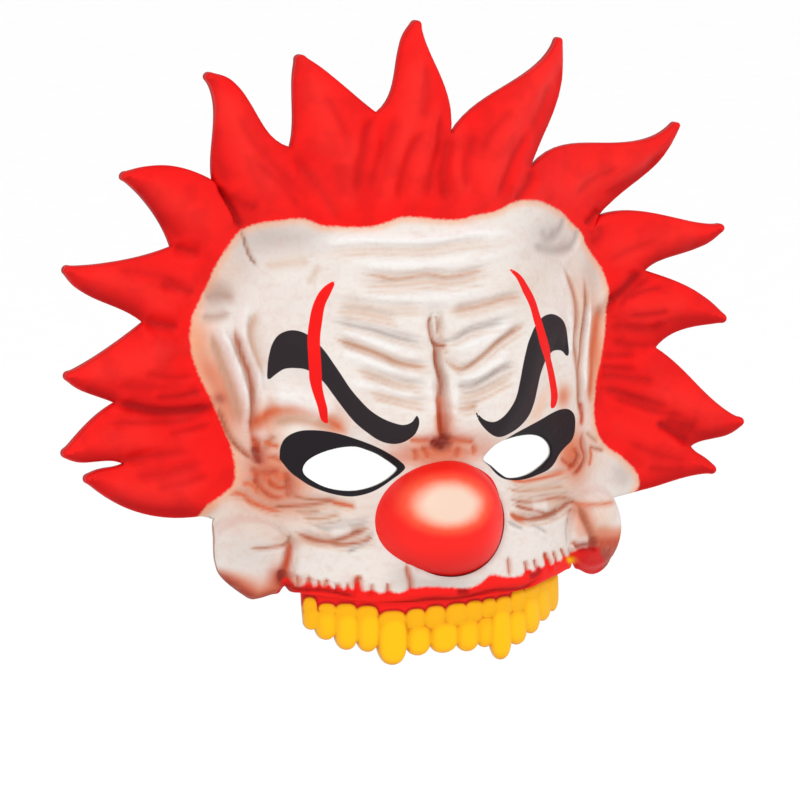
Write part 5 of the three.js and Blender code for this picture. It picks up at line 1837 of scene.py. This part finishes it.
@dataclass
class Strap:
    """The woven elastic strap and the patches that hold it."""

    height: float = 10.0
    thick: float = 1.2
    level: float = 1.0
    bend: float = 7.0
    head_half: float = 86.0
    head_back: float = 198.0
    head_middle: float = 100.0
    patch_width: float = 22.0
    patch_height: float = 16.0
    patch_thick: float = 1.5
    patch_margin: float = 2.5
    patch_hold: float = 0.35
    ribs: int = 8
    rib_lift: float = 0.10
    edge_sink: float = 0.25
    thread: float = 0.9

    def patch_side(self) -> float:
        """How far out a patch's middle lies."""
        return OUTLINES.face_half + self.patch_margin + self.patch_width / 2

    def line(self) -> Array:
        """The strap's middle line in plan, evenly spaced, from the wearer's left to the right."""
        rest = 2 * FORM.gap + self.patch_thick + self.thick / 2
        start = self.patch_side() + self.patch_hold * self.patch_width
        turn = self.head_half + self.bend
        points = []
        for x in np.linspace(start, turn, 8):
            points.append((x, float(FORM.inner(x, self.level)) + rest))
        bend_y = points[-1][1] + self.bend
        for angle in np.linspace(0, math.pi / 2, 9)[1:]:
            points.append((turn - self.bend * math.sin(angle),
                           bend_y - self.bend * math.cos(angle)))
        for angle in np.linspace(0, math.pi / 2, 40):
            points.append((self.head_half * math.cos(angle), self.head_middle
                           + (self.head_back - self.head_middle) * math.sin(angle)))
        half = np.array(points)
        whole = np.vstack([half, np.column_stack([-half[-2::-1, 0], half[-2::-1, 1]])])
        run = np.concatenate([[0], np.cumsum(np.linalg.norm(np.diff(whole, axis=0), axis=1))])
        even = np.linspace(0, run[-1], 421)
        return np.column_stack([np.interp(even, run, column) for column in whole.T])

    def make_strap(self) -> bpy.types.Object:
        """Bends a ribbed flat band along the line."""
        line = self.line()
        ways = np.gradient(line, axis=0)
        ways /= np.linalg.norm(ways, axis=1)[:, None]
        bm = bmesh.new()
        bmesh.ops.create_grid(bm, x_segments=len(line) - 1, y_segments=24, size=0.5)
        bmesh.ops.extrude_face_region(bm, geom=bm.faces[:])
        front = bm.verts[len(bm.verts) // 2:]
        lifted_side = set(front)
        for vert in bm.verts:
            index = int(round((vert.co.x + 0.5) * (len(line) - 1)))
            share = vert.co.y * 2
            rib = self.rib_lift * math.cos(share * math.pi * self.ribs)
            rib = rib if abs(share) < 0.97 else -self.edge_sink
            side = (self.thick / 2 + rib) * (1 if vert in lifted_side else -1)
            way = ways[index]
            x = line[index][0] - way[1] * side
            y = line[index][1] + way[0] * side
            vert.co = (x, y, self.level + share * self.height / 2)
        closed_up(bm)
        mesh, (x, y, z) = mesh_of("strap_weave", bm)
        step = float(np.linalg.norm(line[1] - line[0]))
        nearest = [int(np.argmin(((line - place) ** 2).sum(1))) for place in zip(x, y)]
        store_number(mesh, "along", np.array(nearest) * step)
        store_number(mesh, "across", (z - self.level) / (self.height / 2))
        piece = finished("strap_weave", mesh, self.weave())
        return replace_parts(piece, "elastic_strap")

    def weave(self) -> bpy.types.Material:
        """Black woven elastic with ribs and cross threads."""
        nodes = Nodes("woven elastic")
        along = nodes.attribute("along")
        across = nodes.attribute("across")
        threads = nodes.maths("SINE", nodes.maths("MULTIPLY", along, 2 * math.pi / self.thread))
        ribs = nodes.maths("SINE", nodes.maths("MULTIPLY", across, 2 * math.pi * self.ribs))
        weave = nodes.maths("MULTIPLY_ADD", threads, ribs, 1.0)
        # Painted light and shade: the raised threads are lighter and the hollows between them
        # darker.
        shade = nodes.maths("MULTIPLY", weave, 0.5)
        colour = nodes.mix(shade, linear((18, 18, 20)), linear((52, 52, 56)))
        normal = nodes.bump(nodes.maths("ADD", weave, nodes.noise(3000, 2)), 0.18, 0.6)
        return nodes.shade(colour, normal, 0.85, Sheen_Weight=0.3, Sheen_Roughness=0.5,
                           Specular_IOR_Level=0.2)

    def make_patch(self, side: int) -> bpy.types.Object:
        """A plain glued patch with rounded corners; side is 1 on the wearer's left."""
        name = "patch_left" if side > 0 else "patch_right"
        centre = side * self.patch_side()
        corner = self.patch_height / 5
        out, up = self.patch_width / 2 - corner, self.patch_height / 2 - corner
        loop = []
        for sx, sz, start in ((1, 1, 0), (-1, 1, 1), (-1, -1, 2), (1, -1, 3)):
            for angle in np.linspace(start, start + 1, 9) * math.pi / 2:
                loop.append((centre + sx * out + corner * math.cos(angle),
                             self.level + sz * up + corner * math.sin(angle)))
        outline = np.array(loop)
        bm = cut_flat([outline], 1.0, (0.25, 0.5))
        near_face, outer = second_face(bm)
        push_back(near_face, FORM.inner(*places(near_face)) + FORM.gap * 0.2)
        x, z = places(outer)
        drop = rounded(np.abs(inside_by(x, z, outline)[0]), 0.8, 0.6)
        push_back(outer, FORM.inner(x, z) + FORM.gap + self.patch_thick - drop)
        closed_up(bm)
        mesh, _ = mesh_of(name, bm)
        piece = finished(name, mesh, self.felt())
        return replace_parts(piece, "strap_" + name)

    def felt(self) -> bpy.types.Material:
        """Pale pressed felt."""
        nodes = Nodes("pressed felt")
        fibres = nodes.noise(900, 5)
        colour = nodes.mix(fibres, linear((176, 172, 164)), linear((206, 203, 197)))
        normal = nodes.bump(fibres, 0.3, 0.6)
        return nodes.shade(colour, normal, 0.92, Sheen_Weight=0.25, Sheen_Roughness=0.6,
                           Specular_IOR_Level=0.2)


@dataclass
class Studio:
    """Floor, soft light and the camera at the picture's angle."""

    view: PictureView = PICTURE
    floor_drop: float = 0.35
    floor_half: float = 60.0
    world_light: float = 1.0

    def make(self) -> None:
        """Builds the studio."""
        self.make_floor()
        self.make_light()
        self.make_camera()

    def make_floor(self) -> None:
        """A plain pale floor without a visible end."""
        bm = bmesh.new()
        bmesh.ops.create_grid(bm, x_segments=1, y_segments=1, size=self.floor_half)
        bmesh.ops.translate(bm, vec=(0, 0, -self.floor_drop), verts=bm.verts[:])
        mesh, _ = mesh_of("floor", bm)
        nodes = Nodes("pale floor")
        speck = nodes.noise(40, 2)
        colour = nodes.mix(speck, linear((252, 252, 252)), linear((255, 255, 255)))
        mesh.materials.append(nodes.shade(colour, nodes.bump(speck, 0.01, 0.1), 0.9))
        floor = bpy.data.objects.new("floor", mesh)
        bpy.context.scene.collection.objects.link(floor)

    def make_light(self) -> None:
        """White surroundings and two broad lights."""
        world = bpy.data.worlds.new("studio")
        bpy.context.scene.world = world
        world.use_nodes = True
        back = world.node_tree.nodes["Background"]
        back.inputs["Color"].default_value = (1, 1, 1, 1)
        back.inputs["Strength"].default_value = self.world_light
        for name, place, size, power in (
                ("key", (-0.9, -1.5, 1.5), 0.7, 12.0), ("fill", (1.5, -1.2, 0.6), 0.9, 3.0)):
            light = bpy.data.lights.new(name, "AREA")
            light.shape = "DISK"
            light.size = size
            light.energy = power
            lamp = bpy.data.objects.new(name, light)
            lamp.location = place
            aim = Vector((0, 0.02, -0.02)) - Vector(place)
            lamp.rotation_mode = "QUATERNION"
            lamp.rotation_quaternion = aim.to_track_quat("-Z", "Y")
            bpy.context.scene.collection.objects.link(lamp)
        bpy.context.scene.view_settings.view_transform = "Standard"
        bpy.context.scene.view_settings.look = "None"

    def make_camera(self) -> None:
        """The picture's camera."""
        view = self.view
        a, e, r = (math.radians(v) for v in (view.azimuth, view.elevation, view.roll))
        right = Vector((math.cos(a), math.sin(a), 0))
        up = Vector((-math.sin(a) * math.sin(e), math.cos(a) * math.sin(e), math.cos(e)))
        look = Vector((-math.sin(a) * math.cos(e), math.cos(a) * math.cos(e), -math.sin(e)))
        target = (right * view.centre[0] + up * view.centre[1]) * MILLIMETRE
        turned_right = right * math.cos(r) - up * math.sin(r)
        turned_up = right * math.sin(r) + up * math.cos(r)
        data = bpy.data.cameras.new("camera")
        data.sensor_width = 36.0
        data.lens = data.sensor_width * view.distance / view.width
        data.clip_start, data.clip_end = 0.05, 200.0
        camera = bpy.data.objects.new("camera", data)
        bpy.context.scene.collection.objects.link(camera)
        turn = Matrix((turned_right, turned_up, -look)).transposed()
        stand = target - look * view.distance * MILLIMETRE
        camera.matrix_world = Matrix.Translation(stand) @ turn.to_4x4()
        bpy.context.scene.camera = camera


def main() -> None:
    """Builds every piece in order."""
    logging.basicConfig(level=logging.INFO, format="%(message)s")
    Studio().make()
    face = PrintedFoam("face print", face_prints=True)
    SheetPiece("face_print", "face_print", "face_sheet", [CUTS.face], face,
               holes=[*CUTS.eyes, CUTS.nose]).make()
    for name, node, loop, darts in (("crown_print", "hair_crown", CUTS.crown, (0, 1)),
                                    ("wing_right_print", "hair_wing_right", CUTS.right, (0,)),
                                    ("wing_left_print", "hair_wing_left", CUTS.left, (1,))):
        SheetPiece(name, "hair_print", node, [loop], PrintedFoam("hair print"), darts=darts,
                   laps=len(darts) == 1).make()
    NoseBall().make()
    TeethStrip().make()
    strap = Strap()
    strap.make_strap()
    for side in (-1, 1):
        strap.make_patch(side)


if __name__ == "__main__":
    main()
